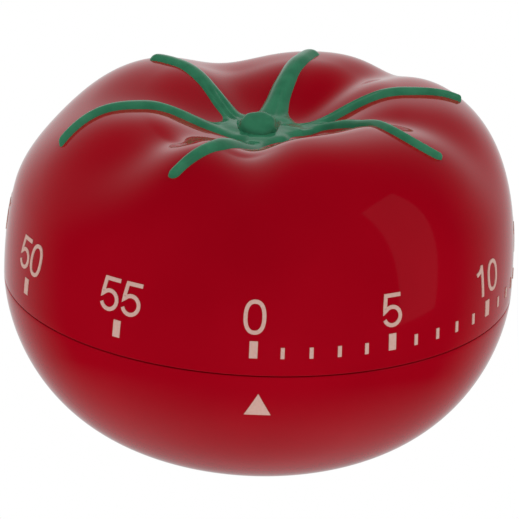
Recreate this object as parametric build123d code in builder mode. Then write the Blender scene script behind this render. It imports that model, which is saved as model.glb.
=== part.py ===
from build123d import *
from math import acos, asin, atan2, cos, degrees, exp, hypot, pi, radians, sin
import os

# A kitchen timer in the form of a tomato. The upper half is the knob and the dial: it is turned
# to wind a small clockwork, runs back to 0 over the pointer, and a hammer then strikes a bell.
# The origin is the centre of the foot on the table, +Z is up and the pointer faces -Y.
# All lengths are millimetres, all angles degrees. An azimuth is counted from -Y towards +X.

os.makedirs("parts", exist_ok=True)

# Outer form
widest_radius = 35.25
parting_height = 24.0
parting_gap = 0.25
crest_rise = 25.4
crest_tilt = 0.46
crest_radius = 18.4
crest_front_shift = 2.5
crest_right_shift = 0.8
crest_widest_drop = 0.8
dimple_depth = 4.9
dimple_radius = 5.0
shell_wall = 2.0
bowl_widest_rise = 0.55
bowl_sole_height = 0.1

# Powers of the rounded outline: higher is squarer. The right side and the back are fuller.
dome_power_share = 2.65
dome_power_right_share = 0.18
dome_power_back_share = 0.6
dimple_power_share = 1.12
bowl_height_power_share = 1.79
bowl_round_power_share = 3.13

# Furrows between the lobes: azimuth, share of the deepest furrow, half width in degrees
furrow_depth = 2.9
furrow_start_rise = 12.0
furrow_full_rise = 24.5
furrow_shares = [
    (-10, 0.99, 18),
    (73, 0.32, 12),
    (137, 0.50, 11.5),
    (187.5, 0.36, 26),
    (194, 0.60, 16),
    (264, 0.73, 30.5),
    (-51.5, 1.00, 20.5),
]

# Calyx: azimuth of each sepal at the hub, half way and at the tip, share of the widest radius
# where the tip ends, and the shares of the widest sepal at the base, half way and at the tip
calyx_relief = 0.8
calyx_seat_gap = 0.03
calyx_hub_radius = 6.4
sepal_width = 4.4
stem_radius = 2.8
stem_length = 2.6
stem_rise = 1.6
stem_side_offset = -0.85
stem_front_offset = -0.2
stem_lean_angle = 24
stem_draft_angle = 6
stem_edge = 0.5
sepal_shares = [
    (-142, -144, -139, 0.66, 0.70, 0.66, 0.50),
    (-92, -95, -78, 0.82, 0.88, 0.60, 0.38),
    (-10, -23.5, -30.5, 0.72, 0.70, 0.52, 0.36),
    (173, 169.5, 167, 0.69, 1.05, 0.72, 0.58),
    (116, 106.5, 103, 0.79, 0.70, 0.54, 0.28),
    (132, 63, 59, 0.79, 0.70, 0.40, 0.28),
]

# Printed marks on the dial and on the bowl
print_thickness = 0.1
print_gap = 0.03
numeral_height = 4.3
numeral_stroke = 0.62
numeral_rise = 5.5
numeral_spacing = 0.4
numeral_width_share = 0.66
dial_print_azimuth = -1.4
tick_rise = 2.45
major_tick_width = 1.05
major_tick_height = 2.2
minor_tick_width = 0.5
minor_tick_height = 1.45
minor_tick_minutes = 15
minutes_per_turn = 60
minutes_per_numeral = 5
pointer_width = 3.4
pointer_height = 3.2
pointer_apex_drop = 2.5

# Bowl below the parting line
foot_radius = 15.0
foot_width = 2.5
foot_recess = 0.8
sole_thickness = 2.8
floor_edge_rise = 0.35
guide_rim_rise = 1.4
guide_rim_wall = 1.0
guide_rim_gap = 0.35
sound_slot_count = 6
sound_slot_length = 6.0
sound_slot_width = 1.6
sound_slot_radius = 8.0
screw_post_count = 3
screw_post_radius = 3.0
screw_post_circle_share = 0.695
screw_post_angle = 30

# Fits
running_gap = 0.03
seat_gap = 0.01
end_play = 0.1
overrun = 1.0

# Movement frame
lower_plate_height = 13.0
lower_plate_thickness = 1.2
plate_spacing = 12.8
upper_plate_thickness = 1.0
plate_radius = 22.0
ear_width = 7.0
pillar_radius = 1.9
pillar_circle = 20.0
pillar_angles = (10, 135, 312)
pillar_tenon_radius = 1.1
pillar_nut_radius = 2.0
pillar_nut_height = 1.0
bush_radius = 4.2
bush_flange = 0.4
screw_thread_radius = 1.0
screw_head_radius = 1.9
screw_head_height = 1.2
screw_length = 6.0
screw_slot_width = 0.5
screw_slot_depth = 0.5

# Main arbor, which carries the upper shell
arbor_radius = 2.5
arbor_pivot_radius = 1.5
arbor_collar_radius = 4.0
arbor_collar_height = 0.6
arbor_collar_rise = 0.4
arbor_top_rise = 27.5
arbor_flat_margin = 0.5
arbor_across_flats = 4.0
hub_tube_radius = 4.4
hub_tube_length = 10.0
hub_socket_end_gap = 0.3

# Train: teeth, module and face width of each wheel and of the pinion that it drives
main_teeth = 72
main_module = 0.35
second_teeth = 60
second_module = 0.30
third_teeth = 56
third_module = 0.25
pinion_teeth = 8
addendum_share = 0.75
dedendum_share = 1.15
tooth_root_share = 0.27
tooth_tip_share = 0.10
wheel_thickness = 1.0
wheel_gap = 1.2
main_wheel_thickness = 1.2
main_wheel_window_radius = 2.4
main_wheel_window_circle = 8.0
second_wheel_window_radius = 1.9
second_wheel_window_circle = 5.4
third_wheel_window_radius = 1.5
third_wheel_window_circle = 4.1
wheel_window_count = 5
pinion_overhang = 0.3
train_arbor_radius = 0.8
train_pivot_radius = 0.45
second_arbor_angle = 200
third_arbor_circle = 14.2
escape_arbor_circle = 15.5
anchor_arbor_circle = 17.0
clutch_radius = 3.7
clutch_thickness = 0.35
clutch_dish = 0.35
clip_radius = 3.4
clip_height = 0.4

# Escapement and balance
escape_teeth = 15
escape_radius = 4.2
escape_tooth_depth = 1.2
escape_window_radius = 0.75
escape_window_circle = 2.0
escape_thickness = 0.6
anchor_distance = 5.65
pallet_pin_radius = 0.3
pallet_pin_length = 2.2
pallet_clearance = 0.65
pallet_spread_angle = 44
anchor_arm_width = 1.2
anchor_hub_radius = 1.4
anchor_thickness = 0.7
balance_radius = 6.5
balance_rim_width = 1.4
balance_thickness = 1.2
balance_rise = 1.6
balance_hub_radius = 1.6
balance_bar_width = 1.6
balance_arbor_overhang = 0.8

# Mainspring
spring_inner_radius = 3.1
spring_outer_radius = 9.6
spring_strip = 0.35
spring_turns = 5
spring_height = 3.8
spring_drop = 0.6
spring_post_radius = 1.0
spring_post_foot = 0.3

# Bell and hammer
bell_radius = 17.0
bell_height = 7.0
bell_wall = 0.8
bell_crown_radius = 9.0
bell_rise = 4.5
bell_post_radius = 2.0
bell_screw_head_radius = 2.3
bell_screw_head_height = 1.2
bell_thread_length = 4.0
hammer_circle = 18.5
hammer_angle = 60
hammer_shaft_radius = 1.0
hammer_hub_radius = 2.0
hammer_arm_thickness = 0.8
hammer_arm_width = 2.2
hammer_arm_gap = 0.35
hammer_head_angle = 100
hammer_head_radius = 1.7
hammer_head_length = 4.2
hammer_head_edge = 0.35
hammer_strike_gap = 0.3
follower_angle = 115
follower_elbow_circle = 10.6
follower_thickness = 0.6
follower_nose_width = 1.4
follower_gap = 0.35
torsion_spring_radius = 1.75
torsion_spring_wire = 0.3
torsion_spring_turns = 3
torsion_spring_pitch = 0.36

# Strike cam and stop
cam_radius = 8.0
cam_thickness = 1.0
cam_notch_depth = 1.5
cam_notch_angle = 26
stop_disc_radius = 6.2
stop_disc_thickness = 0.8
stop_disc_rise = 0.4
stop_lug_reach = 9.4
stop_lug_width = 1.0
stop_pin_circle = 8.7
stop_pin_radius = 0.6
stop_pin_top_gap = 0.2
stop_pin_angle = 0
stop_play_angle = 1.0

# Places and heights that follow
screw_post_circle = widest_radius * screw_post_circle_share
floor_edge_height = sole_thickness + floor_edge_rise
crest_height = parting_height + crest_rise
lip_height = parting_height + parting_gap / 2
bowl_lip_height = parting_height - parting_gap / 2
dome_widest_height = parting_height - crest_widest_drop
dimple_height = crest_height - dimple_depth
lower_plate_top = lower_plate_height + lower_plate_thickness
upper_plate_height = lower_plate_top + plate_spacing
upper_plate_top = upper_plate_height + upper_plate_thickness
main_wheel_height = lower_plate_top + arbor_collar_rise + arbor_collar_height
second_wheel_height = main_wheel_height + main_wheel_thickness + wheel_gap
third_wheel_height = second_wheel_height + wheel_thickness + wheel_gap
escape_wheel_height = third_wheel_height + wheel_thickness + wheel_gap
arbor_top = lower_plate_height + arbor_top_rise
stop_disc_height = upper_plate_top + stop_disc_rise
cam_height = stop_disc_height + stop_disc_thickness
hub_tube_low = dimple_height - shell_wall - hub_tube_length
hammer_arm_height = lower_plate_height - hammer_arm_gap - hammer_arm_thickness
follower_height = cam_height + (cam_thickness - follower_thickness) / 2
balance_height = upper_plate_top + balance_rise


def polar(radius, angle):
    """Plan point at a radius and an angle from +X."""
    return radius * cos(radians(angle)), radius * sin(radians(angle))


def around(radius, azimuth):
    """Plan point at a radius and an azimuth from -Y towards +X."""
    return radius * sin(radians(azimuth)), -radius * cos(radians(azimuth))


def ease(share):
    """0 to 1 with a soft start and end."""
    share = min(max(share, 0), 1)
    return share * share * (3 - 2 * share)


def angle_between(side_a, side_b, opposite):
    """Angle between two sides of a triangle, from the length of the side across from it."""
    return degrees(acos((side_a**2 + side_b**2 - opposite**2) / (2 * side_a * side_b)))


# Skin of the upper half. A profile share of 0 is the lip, 1 the crest and 2 the dimple floor.
def dome_point(share, azimuth):
    """Radius and height of the smooth dome before the furrows."""
    turn = radians(azimuth)
    power = dome_power_share + dome_power_right_share * sin(turn) - dome_power_back_share * cos(turn)
    top = crest_height - crest_tilt * cos(turn)
    lobe_radius = crest_radius - crest_front_shift * cos(turn) + crest_right_shift * sin(turn)
    if share <= 1:
        lip_angle = asin(((lip_height - dome_widest_height) / (top - dome_widest_height)) ** (power / 2))
        ahead = share ** (power / 2)
        behind = (1 - share) ** (power / 2)
        rise = lip_angle + (pi / 2 - lip_angle) * ahead / (ahead + behind)
        out = max(cos(rise), 0) ** (2 / power)
        up = sin(rise) ** (2 / power)
        radius = lobe_radius + (widest_radius - lobe_radius) * out
        return radius, dome_widest_height + (top - dome_widest_height) * up
    fall = share - 1
    radius = lobe_radius + (dimple_radius - lobe_radius) * fall
    slope = (1 + cos(pi * fall**dimple_power_share)) / 2
    return radius, dimple_height + (top - dimple_height) * slope


def skin_point(share, azimuth, inset):
    """Point of the lobed skin, moved inwards by inset along the profile's normal."""
    step_share = 0.001
    radius, height = dome_point(share, azimuth)
    before = dome_point(max(share - step_share, 0), azimuth)
    after = dome_point(min(share + step_share, 2), azimuth)
    run, climb = after[0] - before[0], after[1] - before[1]
    length = hypot(run, climb)
    if share == 0 or share == 2:
        run, climb = (0, length) if share == 0 else (-length, 0)
    depth = 0
    for middle, depth_share, width in furrow_shares:
        away = (azimuth - middle + 180) % 360 - 180
        depth += furrow_depth * depth_share * exp(-((away / width) ** 2))
    if share <= 1:
        start = parting_height + furrow_start_rise
        depth *= ease((height - start) / (furrow_full_rise - furrow_start_rise))
    else:
        depth *= 1 - ease(share - 1)
    shift = depth + inset
    return *around(radius - shift * climb / length, azimuth), height + shift * run / length


skin_shares = [0, 0.1, 0.2, 0.3, 0.4, 0.5, 0.6, 0.7, 0.8, 0.9, 1, 1.15, 1.3, 1.5, 1.7, 1.85, 2]
skin_point_count = 72


def skin_wire(share, inset, drop=0):
    """Closed smooth curve round the skin at one profile share."""
    points = []
    for step in range(skin_point_count):
        x, y, z = skin_point(share, 360 * step / skin_point_count, inset)
        points.append((x, y, z - drop))
    knots = [step / skin_point_count for step in range(skin_point_count + 1)]
    return Wire([Edge.make_spline(points, periodic=True, parameters=knots)])


def skin_solid(inset, drop=0):
    """Solid inside the skin from the lip upwards. With a drop it also runs on below the lip."""
    wires = [skin_wire(share, inset) for share in skin_shares]
    if drop:
        wires.insert(0, skin_wire(0, inset, drop))
    return Solid.make_loft(wires)


def bowl_radius(height, inset=0):
    """Radius of the bowl's outer skin, or of its inner skin when inset by the wall."""
    low = sole_thickness if inset else bowl_sole_height
    top = parting_height + bowl_widest_rise
    down = min(max((top - height) / (top - low), 0), 1)
    roundness = (1 - down**bowl_height_power_share) ** (1 / bowl_round_power_share)
    return (widest_radius - inset) * roundness


def bowl_height(radius):
    """Height of the bowl's outer skin at a radius."""
    top = parting_height + bowl_widest_rise
    fall = (1 - (radius / widest_radius) ** bowl_round_power_share) ** (1 / bowl_height_power_share)
    return top - (top - bowl_sole_height) * fall


# Turning parts of the movement and their places in plan
second_distance = main_module * (main_teeth + pinion_teeth) / 2
third_distance = second_module * (second_teeth + pinion_teeth) / 2
escape_distance = third_module * (third_teeth + pinion_teeth) / 2
third_turn = angle_between(second_distance, third_arbor_circle, third_distance)
third_arbor_angle = second_arbor_angle + third_turn
escape_turn = angle_between(third_arbor_circle, escape_arbor_circle, escape_distance)
escape_arbor_angle = third_arbor_angle + escape_turn
anchor_turn = angle_between(escape_arbor_circle, anchor_arbor_circle, anchor_distance)
anchor_arbor_angle = escape_arbor_angle + anchor_turn
main_place = (0, 0)
second_place = polar(second_distance, second_arbor_angle)
third_place = polar(third_arbor_circle, third_arbor_angle)
escape_place = polar(escape_arbor_circle, escape_arbor_angle)
anchor_place = polar(anchor_arbor_circle, anchor_arbor_angle)
hammer_place = polar(hammer_circle, hammer_angle)
train_places = (second_place, third_place, escape_place, anchor_place)


def bearing(start, end):
    """Direction in plan from one place to another."""
    return degrees(atan2(end[1] - start[1], end[0] - start[0]))


def shifted(place, radius, angle):
    """Plan point at a radius and an angle from a place."""
    x, y = polar(radius, angle)
    return place[0] + x, place[1] + y


def gear_outline(place, teeth, module, tooth_angle):
    """Corners of a toothed disc with one tooth centred on tooth_angle."""
    pitch_radius = module * teeth / 2
    root = pitch_radius - dedendum_share * module
    tip = pitch_radius + addendum_share * module
    pitch = 360 / teeth
    points = []
    for tooth in range(teeth):
        middle = tooth_angle + tooth * pitch
        points.append(shifted(place, root, middle - tooth_root_share * pitch))
        points.append(shifted(place, tip, middle - tooth_tip_share * pitch))
        points.append(shifted(place, tip, middle + tooth_tip_share * pitch))
        points.append(shifted(place, root, middle + tooth_root_share * pitch))
    return points


def escape_outline(place, tooth_angle):
    """Corners of the escape wheel: pointed teeth with one steep and one leaning flank."""
    pitch = 360 / escape_teeth
    root = escape_radius - escape_tooth_depth
    flank_share = 0.12
    back_share = 0.45
    tip_share = 0.06
    points = []
    for tooth in range(escape_teeth):
        middle = tooth_angle + tooth * pitch
        points.append(shifted(place, root, middle - flank_share * pitch))
        points.append(shifted(place, escape_radius, middle - tip_share * pitch))
        points.append(shifted(place, escape_radius, middle))
        points.append(shifted(place, root, middle + back_share * pitch))
    return points


def cylinder_between(radius, low, high):
    """Upright cylinder at the current location, from one height to another."""
    with Locations((0, 0, low)):
        Cylinder(radius, high - low, align=(Align.CENTER, Align.CENTER, Align.MIN))


def bore_between(radius, low, high):
    """Upright hole at the current location, from one height to another."""
    with Locations((0, 0, low)):
        Cylinder(
            radius,
            high - low,
            align=(Align.CENTER, Align.CENTER, Align.MIN),
            mode=Mode.SUBTRACT,
        )


def arbor_end(gap):
    """Sketch of the arbor's end with its two flats, widened by a gap."""
    Circle(arbor_radius + gap)
    Rectangle(arbor_across_flats + 2 * gap, 2 * (arbor_radius + overrun), mode=Mode.INTERSECT)


# Upper shell: knob, dial and cover in one moulding, with the hub tube that grips the arbor
with BuildPart() as upper_shell:
    add(skin_solid(0))
    add(skin_solid(shell_wall, overrun), mode=Mode.SUBTRACT)
    cylinder_between(hub_tube_radius, hub_tube_low, dimple_height - shell_wall / 2)
    with BuildSketch(Plane.XY.offset(hub_tube_low - overrun)):
        arbor_end(seat_gap)
    extrude(amount=arbor_top + hub_socket_end_gap - hub_tube_low + overrun, mode=Mode.SUBTRACT)
upper_shell.part.label = "upper_shell"
export_step(upper_shell.part, "parts/upper_shell.step")


def sepal_outline(shares):
    """Left and right plan edges of one sepal, from the hub to its tip."""
    hub_azimuth, middle_azimuth, tip_azimuth, tip_share, base_width, middle_width, tip_width = shares
    station_count = 5
    start = stem_radius
    end = tip_share * widest_radius - sepal_width * tip_width / 2
    left, right = [], []
    for station in range(station_count + 1):
        along = station / station_count
        radius = start + (end - start) * along
        # Smooth bend through the three azimuths
        azimuth = hub_azimuth * (2 * along - 1) * (along - 1) + tip_azimuth * along * (2 * along - 1)
        azimuth += middle_azimuth * 4 * along * (1 - along)
        narrowing = base_width + (middle_width - base_width) * ease(2 * along)
        width_share = narrowing + (tip_width - middle_width) * ease(2 * along - 1)
        half = sepal_width * width_share / 2
        x, y = around(radius, azimuth)
        across_x, across_y = cos(radians(azimuth)), sin(radians(azimuth))
        left.append((x - half * across_x, y - half * across_y))
        right.append((x + half * across_x, y + half * across_y))
    return left, right, around(tip_share * widest_radius, tip_azimuth)


# Calyx: the green star with its six sepals and the stub of the stem, raised on the shell
with BuildPart() as calyx:
    with BuildSketch(Plane.XY.offset(dimple_height - overrun)):
        Circle(calyx_hub_radius)
        for shares in sepal_shares:
            left, right, tip = sepal_outline(shares)
            with BuildLine():
                Spline(*left)
                ThreePointArc(left[-1], tip, right[-1])
                Spline(*reversed(right))
                Line(right[0], left[0])
            make_face()
    extrude(amount=dimple_depth + crest_tilt + 2 * overrun + calyx_relief)
    add(skin_solid(-calyx_relief), mode=Mode.INTERSECT)
    add(skin_solid(-calyx_seat_gap), mode=Mode.SUBTRACT)
    # The stub leans to the front, so it starts low and is cut off level inside the hub
    stem_lean = (0, -sin(radians(stem_lean_angle)), cos(radians(stem_lean_angle)))
    stem_foot = (
        stem_side_offset,
        stem_front_offset - stem_length * stem_lean[1],
        dimple_height + stem_rise - stem_length * stem_lean[2],
    )
    with BuildPart(mode=Mode.PRIVATE) as stem:
        with BuildSketch(Plane(origin=stem_foot, z_dir=stem_lean)):
            Circle(stem_radius)
        extrude(amount=stem_length, taper=stem_draft_angle)
        fillet(stem.edges().filter_by(GeomType.CIRCLE).group_by(Axis.Z)[-1], stem_edge)
        split(bisect_by=Plane.XY.offset(dimple_height + calyx_relief / 2))
    add(stem.part)
calyx.part.label = "calyx"
export_step(calyx.part, "parts/calyx.step")


def stroke_bar(start, end):
    """Straight stroke of a figure in the current sketch."""
    length = hypot(end[0] - start[0], end[1] - start[1])
    across_x = -(end[1] - start[1]) / length * numeral_stroke / 2
    across_y = (end[0] - start[0]) / length * numeral_stroke / 2
    corners = [
        (start[0] - across_x, start[1] - across_y),
        (end[0] - across_x, end[1] - across_y),
        (end[0] + across_x, end[1] + across_y),
        (start[0] + across_x, start[1] + across_y),
    ]
    with BuildLine() as outline:
        Polyline(*corners, close=True)
    make_face(outline.edges())


def stroke_arc(centre, radius, start_angle, end_angle):
    """Round stroke of a figure in the current sketch."""
    turn = end_angle - start_angle
    with BuildLine() as outline:
        outer = CenterArc(centre, radius + numeral_stroke / 2, start_angle, turn)
        inner = CenterArc(centre, radius - numeral_stroke / 2, start_angle, turn)
        Line(outer @ 0, inner @ 0)
        Line(outer @ 1, inner @ 1)
    make_face(outline.edges())


def numeral(character, left, base):
    """One plain upright figure in the current sketch."""
    half = numeral_stroke / 2
    x0, x1 = left + half, left + numeral_height * numeral_width_share - half
    y0, y1 = base + half, base + numeral_height - half
    width, height = x1 - x0, y1 - y0
    middle = (x0 + x1) / 2
    if character == "0":
        with Locations((middle, (y0 + y1) / 2)):
            Ellipse(width / 2 + half, height / 2 + half)
            Ellipse(width / 2 - half, height / 2 - half, mode=Mode.SUBTRACT)
    elif character == "1":
        post_share = 0.65
        flag_share = 0.76
        post = x0 + width * post_share
        stroke_bar((post, y0 - half), (post, y1 + half))
        stroke_bar((x0 + half, y0 + height * flag_share), (post, y1))
    elif character == "2":
        top = (middle, y1 - width / 2)
        curl_end_angle = -42
        stroke_arc(top, width / 2, 170, curl_end_angle)
        curl_end = (
            top[0] + width / 2 * cos(radians(curl_end_angle)),
            top[1] + width / 2 * sin(radians(curl_end_angle)),
        )
        stroke_bar(curl_end, (x0, y0))
        stroke_bar((x0 - half, y0), (x1 + half, y0))
    elif character == "3":
        upper_share = 0.23
        upper = height * upper_share
        lower = height / 2 - upper
        stroke_arc((middle, y1 - upper), upper, -95, 160)
        stroke_arc((middle, y0 + lower), lower, -165, 95)
    elif character == "4":
        bar_share = 0.28
        post_share = 0.74
        bar = y0 + height * bar_share
        post = x0 + width * post_share
        stroke_bar((post, y0 - half), (post, y1 + half))
        stroke_bar((post, y1), (x0, bar))
        stroke_bar((x0 - half, bar), (x1 + half, bar))
    elif character == "5":
        shoulder_share = 0.46
        lean_share = 0.14
        shoulder = (x0 + half / 2, y0 + height * shoulder_share)
        corner = (x0 + width * lean_share, y1)
        stroke_bar((corner[0] - half, y1), (x1, y1))
        stroke_bar(corner, shoulder)
        stroke_arc((middle, y0 + width / 2), width / 2, -165, 132)


def mark_plane(minute, reach):
    """Upright plane facing outwards at a minute's azimuth, with its origin at the parting line."""
    azimuth = 360 * minute / minutes_per_turn + dial_print_azimuth
    x, y = around(widest_radius - reach, azimuth)
    across = (cos(radians(azimuth)), sin(radians(azimuth)), 0)
    outwards = (sin(radians(azimuth)), -cos(radians(azimuth)), 0)
    return Plane(origin=(x, y, parting_height), x_dir=across, z_dir=outwards)


print_reach_share = 1.6
print_reach = shell_wall * print_reach_share
print_band = skin_solid(-print_gap - print_thickness)
print_core = skin_solid(-print_gap)
numeral_width = numeral_height * numeral_width_share

# Numerals: plain figures every five minutes round the dial
with BuildPart() as dial_numerals:
    for minute in range(0, minutes_per_turn, minutes_per_numeral):
        text = str(minute)
        total = len(text) * numeral_width + (len(text) - 1) * numeral_spacing
        with BuildSketch(mark_plane(minute, print_reach)):
            for place, character in enumerate(text):
                left_edge = place * (numeral_width + numeral_spacing) - total / 2
                numeral(character, left_edge, numeral_rise)
        extrude(amount=2 * print_reach)
    add(print_band, mode=Mode.INTERSECT)
    add(print_core, mode=Mode.SUBTRACT)
dial_numerals.part.label = "dial_numerals"
export_step(dial_numerals.part, "parts/dial_numerals.step")

# Ticks: a wide one at each numeral and a fine one for each minute of the first quarter
with BuildPart() as minute_ticks:
    for minute in range(minutes_per_turn):
        major = minute % minutes_per_numeral == 0
        if not major and minute >= minor_tick_minutes:
            continue
        width = major_tick_width if major else minor_tick_width
        height = major_tick_height if major else minor_tick_height
        with BuildSketch(mark_plane(minute, print_reach)):
            with Locations((0, tick_rise)):
                Rectangle(width, height, align=(Align.CENTER, Align.MIN))
        extrude(amount=2 * print_reach)
    add(print_band, mode=Mode.INTERSECT)
    add(print_core, mode=Mode.SUBTRACT)
minute_ticks.part.label = "minute_ticks"
export_step(minute_ticks.part, "parts/minute_ticks.step")

# Lower shell: the bowl with its foot ring, guide rim, screw posts and sound slots
bowl_point_count = 12
bowl_lip_radius = bowl_radius(bowl_lip_height)
foot_top = bowl_height(foot_radius)
rim_outer_radius = widest_radius - shell_wall - guide_rim_gap
rim_inner_radius = rim_outer_radius - guide_rim_wall
inner_lip_height = bowl_lip_height - guide_rim_wall


def bowl_points(low, high, inset=0, outset=0):
    """Points down the bowl's outline, closer together where it curves in to the sole."""
    points = []
    for step in range(bowl_point_count + 1):
        height = high - (high - low) * sin(pi / 2 * step / bowl_point_count)
        points.append((bowl_radius(height, inset) + outset, height))
    return points


with BuildPart() as bowl_blank:
    with BuildSketch(Plane.XZ):
        with BuildLine():
            Spline(*bowl_points(foot_top, bowl_lip_height))
            Polyline((foot_radius, foot_top), (foot_radius, 0), (0, 0), (0, bowl_lip_height))
            Line((0, bowl_lip_height), (bowl_lip_radius, bowl_lip_height))
        make_face()
    revolve(axis=Axis.Z)

with BuildPart() as lower_shell:
    add(bowl_blank.part)
    with BuildSketch(Plane.XZ):
        with BuildLine():
            floor_radius = bowl_radius(floor_edge_height, shell_wall)
            top_radius = bowl_radius(inner_lip_height, shell_wall)
            Spline(*bowl_points(floor_edge_height, inner_lip_height, shell_wall))
            Polyline(
                (floor_radius, floor_edge_height),
                (floor_radius, sole_thickness),
                (0, sole_thickness),
                (0, bowl_lip_height + overrun),
                (rim_inner_radius, bowl_lip_height + overrun),
                (rim_inner_radius, inner_lip_height),
                (top_radius, inner_lip_height),
            )
        make_face()
    revolve(axis=Axis.Z, mode=Mode.SUBTRACT)
    with BuildSketch(Plane.XY.offset(inner_lip_height)):
        Circle(rim_outer_radius)
        Circle(rim_inner_radius, mode=Mode.SUBTRACT)
    extrude(amount=parting_height + guide_rim_rise - inner_lip_height)
    with BuildPart(mode=Mode.PRIVATE) as screw_posts:
        with PolarLocations(screw_post_circle, screw_post_count, screw_post_angle):
            cylinder_between(screw_post_radius, 0, lower_plate_height)
        add(bowl_blank.part, mode=Mode.INTERSECT)
    add(screw_posts.part)
    with PolarLocations(screw_post_circle, screw_post_count, screw_post_angle):
        bore_between(
            screw_thread_radius + seat_gap,
            lower_plate_top - screw_length - end_play,
            lower_plate_height + overrun,
        )
    with BuildSketch(Plane.XY.offset(-overrun)):
        Circle(foot_radius - foot_width)
    extrude(amount=foot_recess + overrun, mode=Mode.SUBTRACT)
    with BuildSketch(Plane.XY):
        with PolarLocations(sound_slot_radius, sound_slot_count):
            SlotOverall(sound_slot_length, sound_slot_width)
    extrude(amount=sole_thickness + overrun, mode=Mode.SUBTRACT)
lower_shell.part.label = "lower_shell"
export_step(lower_shell.part, "parts/lower_shell.step")

# Pointer: the printed triangle on the bowl, apex up below the 0
pointer_apex = parting_height - pointer_apex_drop
pointer_base = pointer_apex - pointer_height
band_low = pointer_base - overrun
band_high = pointer_apex + overrun
with BuildPart() as index_pointer:
    with BuildSketch(Plane.XZ):
        with BuildLine():
            outer = bowl_points(band_low, band_high, 0, print_gap + print_thickness)
            inner = bowl_points(band_low, band_high, 0, print_gap)
            Spline(*outer)
            Line(outer[-1], inner[-1])
            Spline(*inner)
            Line(inner[0], outer[0])
        make_face()
    revolve(axis=Axis.Z)
    with BuildSketch(Plane.XZ) as pointer_outline:
        with BuildLine():
            Polyline(
                (0, pointer_apex),
                (pointer_width / 2, pointer_base),
                (-pointer_width / 2, pointer_base),
                close=True,
            )
        make_face()
    extrude(amount=widest_radius + overrun, mode=Mode.INTERSECT)
index_pointer.part.label = "index_pointer"
export_step(index_pointer.part, "parts/index_pointer.step")


screw_post_places = [
    polar(screw_post_circle, screw_post_angle + 360 * post / screw_post_count)
    for post in range(screw_post_count)
]
pillar_places = [polar(pillar_circle, angle) for angle in pillar_angles]
stop_pin_place = polar(stop_pin_circle, stop_pin_angle)

# Lower plate: carries the movement on the bowl's three posts
with BuildPart() as lower_plate:
    with BuildSketch(Plane.XY.offset(lower_plate_height)):
        Circle(plate_radius)
        with PolarLocations(screw_post_circle / 2, screw_post_count, screw_post_angle):
            SlotOverall(screw_post_circle + ear_width, ear_width)
        Circle(bush_radius, mode=Mode.SUBTRACT)
        with Locations(*screw_post_places):
            Circle(screw_thread_radius + running_gap, mode=Mode.SUBTRACT)
        with Locations(*pillar_places):
            Circle(pillar_tenon_radius + seat_gap, mode=Mode.SUBTRACT)
        with Locations(*train_places):
            Circle(train_pivot_radius + running_gap, mode=Mode.SUBTRACT)
        with Locations(hammer_place):
            Circle(hammer_shaft_radius + running_gap, mode=Mode.SUBTRACT)
    extrude(amount=lower_plate_thickness)
lower_plate.part.label = "lower_plate"
export_step(lower_plate.part, "parts/lower_plate.step")

# Upper plate: the same pivots seen from above, and the hole for the stop pin
with BuildPart() as upper_plate:
    with BuildSketch(Plane.XY.offset(upper_plate_height)):
        Circle(plate_radius)
        Circle(bush_radius, mode=Mode.SUBTRACT)
        with Locations(*pillar_places):
            Circle(pillar_tenon_radius + seat_gap, mode=Mode.SUBTRACT)
        with Locations(*train_places[:-1]):
            Circle(train_pivot_radius + running_gap, mode=Mode.SUBTRACT)
        with Locations(anchor_place):
            Circle(train_arbor_radius + running_gap, mode=Mode.SUBTRACT)
        with Locations(hammer_place):
            Circle(hammer_shaft_radius + running_gap, mode=Mode.SUBTRACT)
        with Locations(stop_pin_place):
            Circle(stop_pin_radius + seat_gap, mode=Mode.SUBTRACT)
    extrude(amount=upper_plate_thickness)
upper_plate.part.label = "upper_plate"
export_step(upper_plate.part, "parts/upper_plate.step")

# Bushes: one pressed into each plate for the main arbor
with BuildPart() as plate_bushes:
    cylinder_between(bush_radius - seat_gap, lower_plate_height, lower_plate_top + bush_flange / 2)
    bore_between(arbor_pivot_radius + running_gap, lower_plate_height - overrun, lower_plate_top + overrun)
    cylinder_between(
        bush_radius - seat_gap, upper_plate_height - bush_flange / 2, upper_plate_top + bush_flange / 2
    )
    bore_between(arbor_radius + running_gap, upper_plate_height - overrun, upper_plate_top + overrun)
plate_bushes.part.label = "plate_bushes"
export_step(plate_bushes.part, "parts/plate_bushes.step")

# Pillars: hold the plates apart, with a tenon through each plate
with BuildPart() as plate_pillars:
    with Locations(*pillar_places):
        cylinder_between(pillar_radius, lower_plate_top, upper_plate_height)
        cylinder_between(pillar_tenon_radius, lower_plate_height, lower_plate_top)
        cylinder_between(
            pillar_tenon_radius, upper_plate_height, upper_plate_top + pillar_nut_height
        )
plate_pillars.part.label = "plate_pillars"
export_step(plate_pillars.part, "parts/plate_pillars.step")

# Nuts on the pillars' upper tenons
with BuildPart() as pillar_nuts:
    with BuildSketch(Plane.XY.offset(upper_plate_top)):
        with Locations(*pillar_places):
            RegularPolygon(pillar_nut_radius, 6)
            Circle(pillar_tenon_radius + seat_gap, mode=Mode.SUBTRACT)
    extrude(amount=pillar_nut_height)
pillar_nuts.part.label = "pillar_nuts"
export_step(pillar_nuts.part, "parts/pillar_nuts.step")

# Screws that hold the lower plate down on the bowl's posts
with BuildPart() as movement_screws:
    with Locations(*screw_post_places):
        cylinder_between(screw_thread_radius, lower_plate_top - screw_length, lower_plate_top)
        cylinder_between(screw_head_radius, lower_plate_top, lower_plate_top + screw_head_height)
    with BuildSketch(Plane.XY.offset(lower_plate_top + screw_head_height)):
        with Locations(*screw_post_places):
            Rectangle(2 * screw_head_radius + overrun, screw_slot_width)
    extrude(amount=-screw_slot_depth, mode=Mode.SUBTRACT)
movement_screws.part.label = "movement_screws"
export_step(movement_screws.part, "parts/movement_screws.step")

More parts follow.
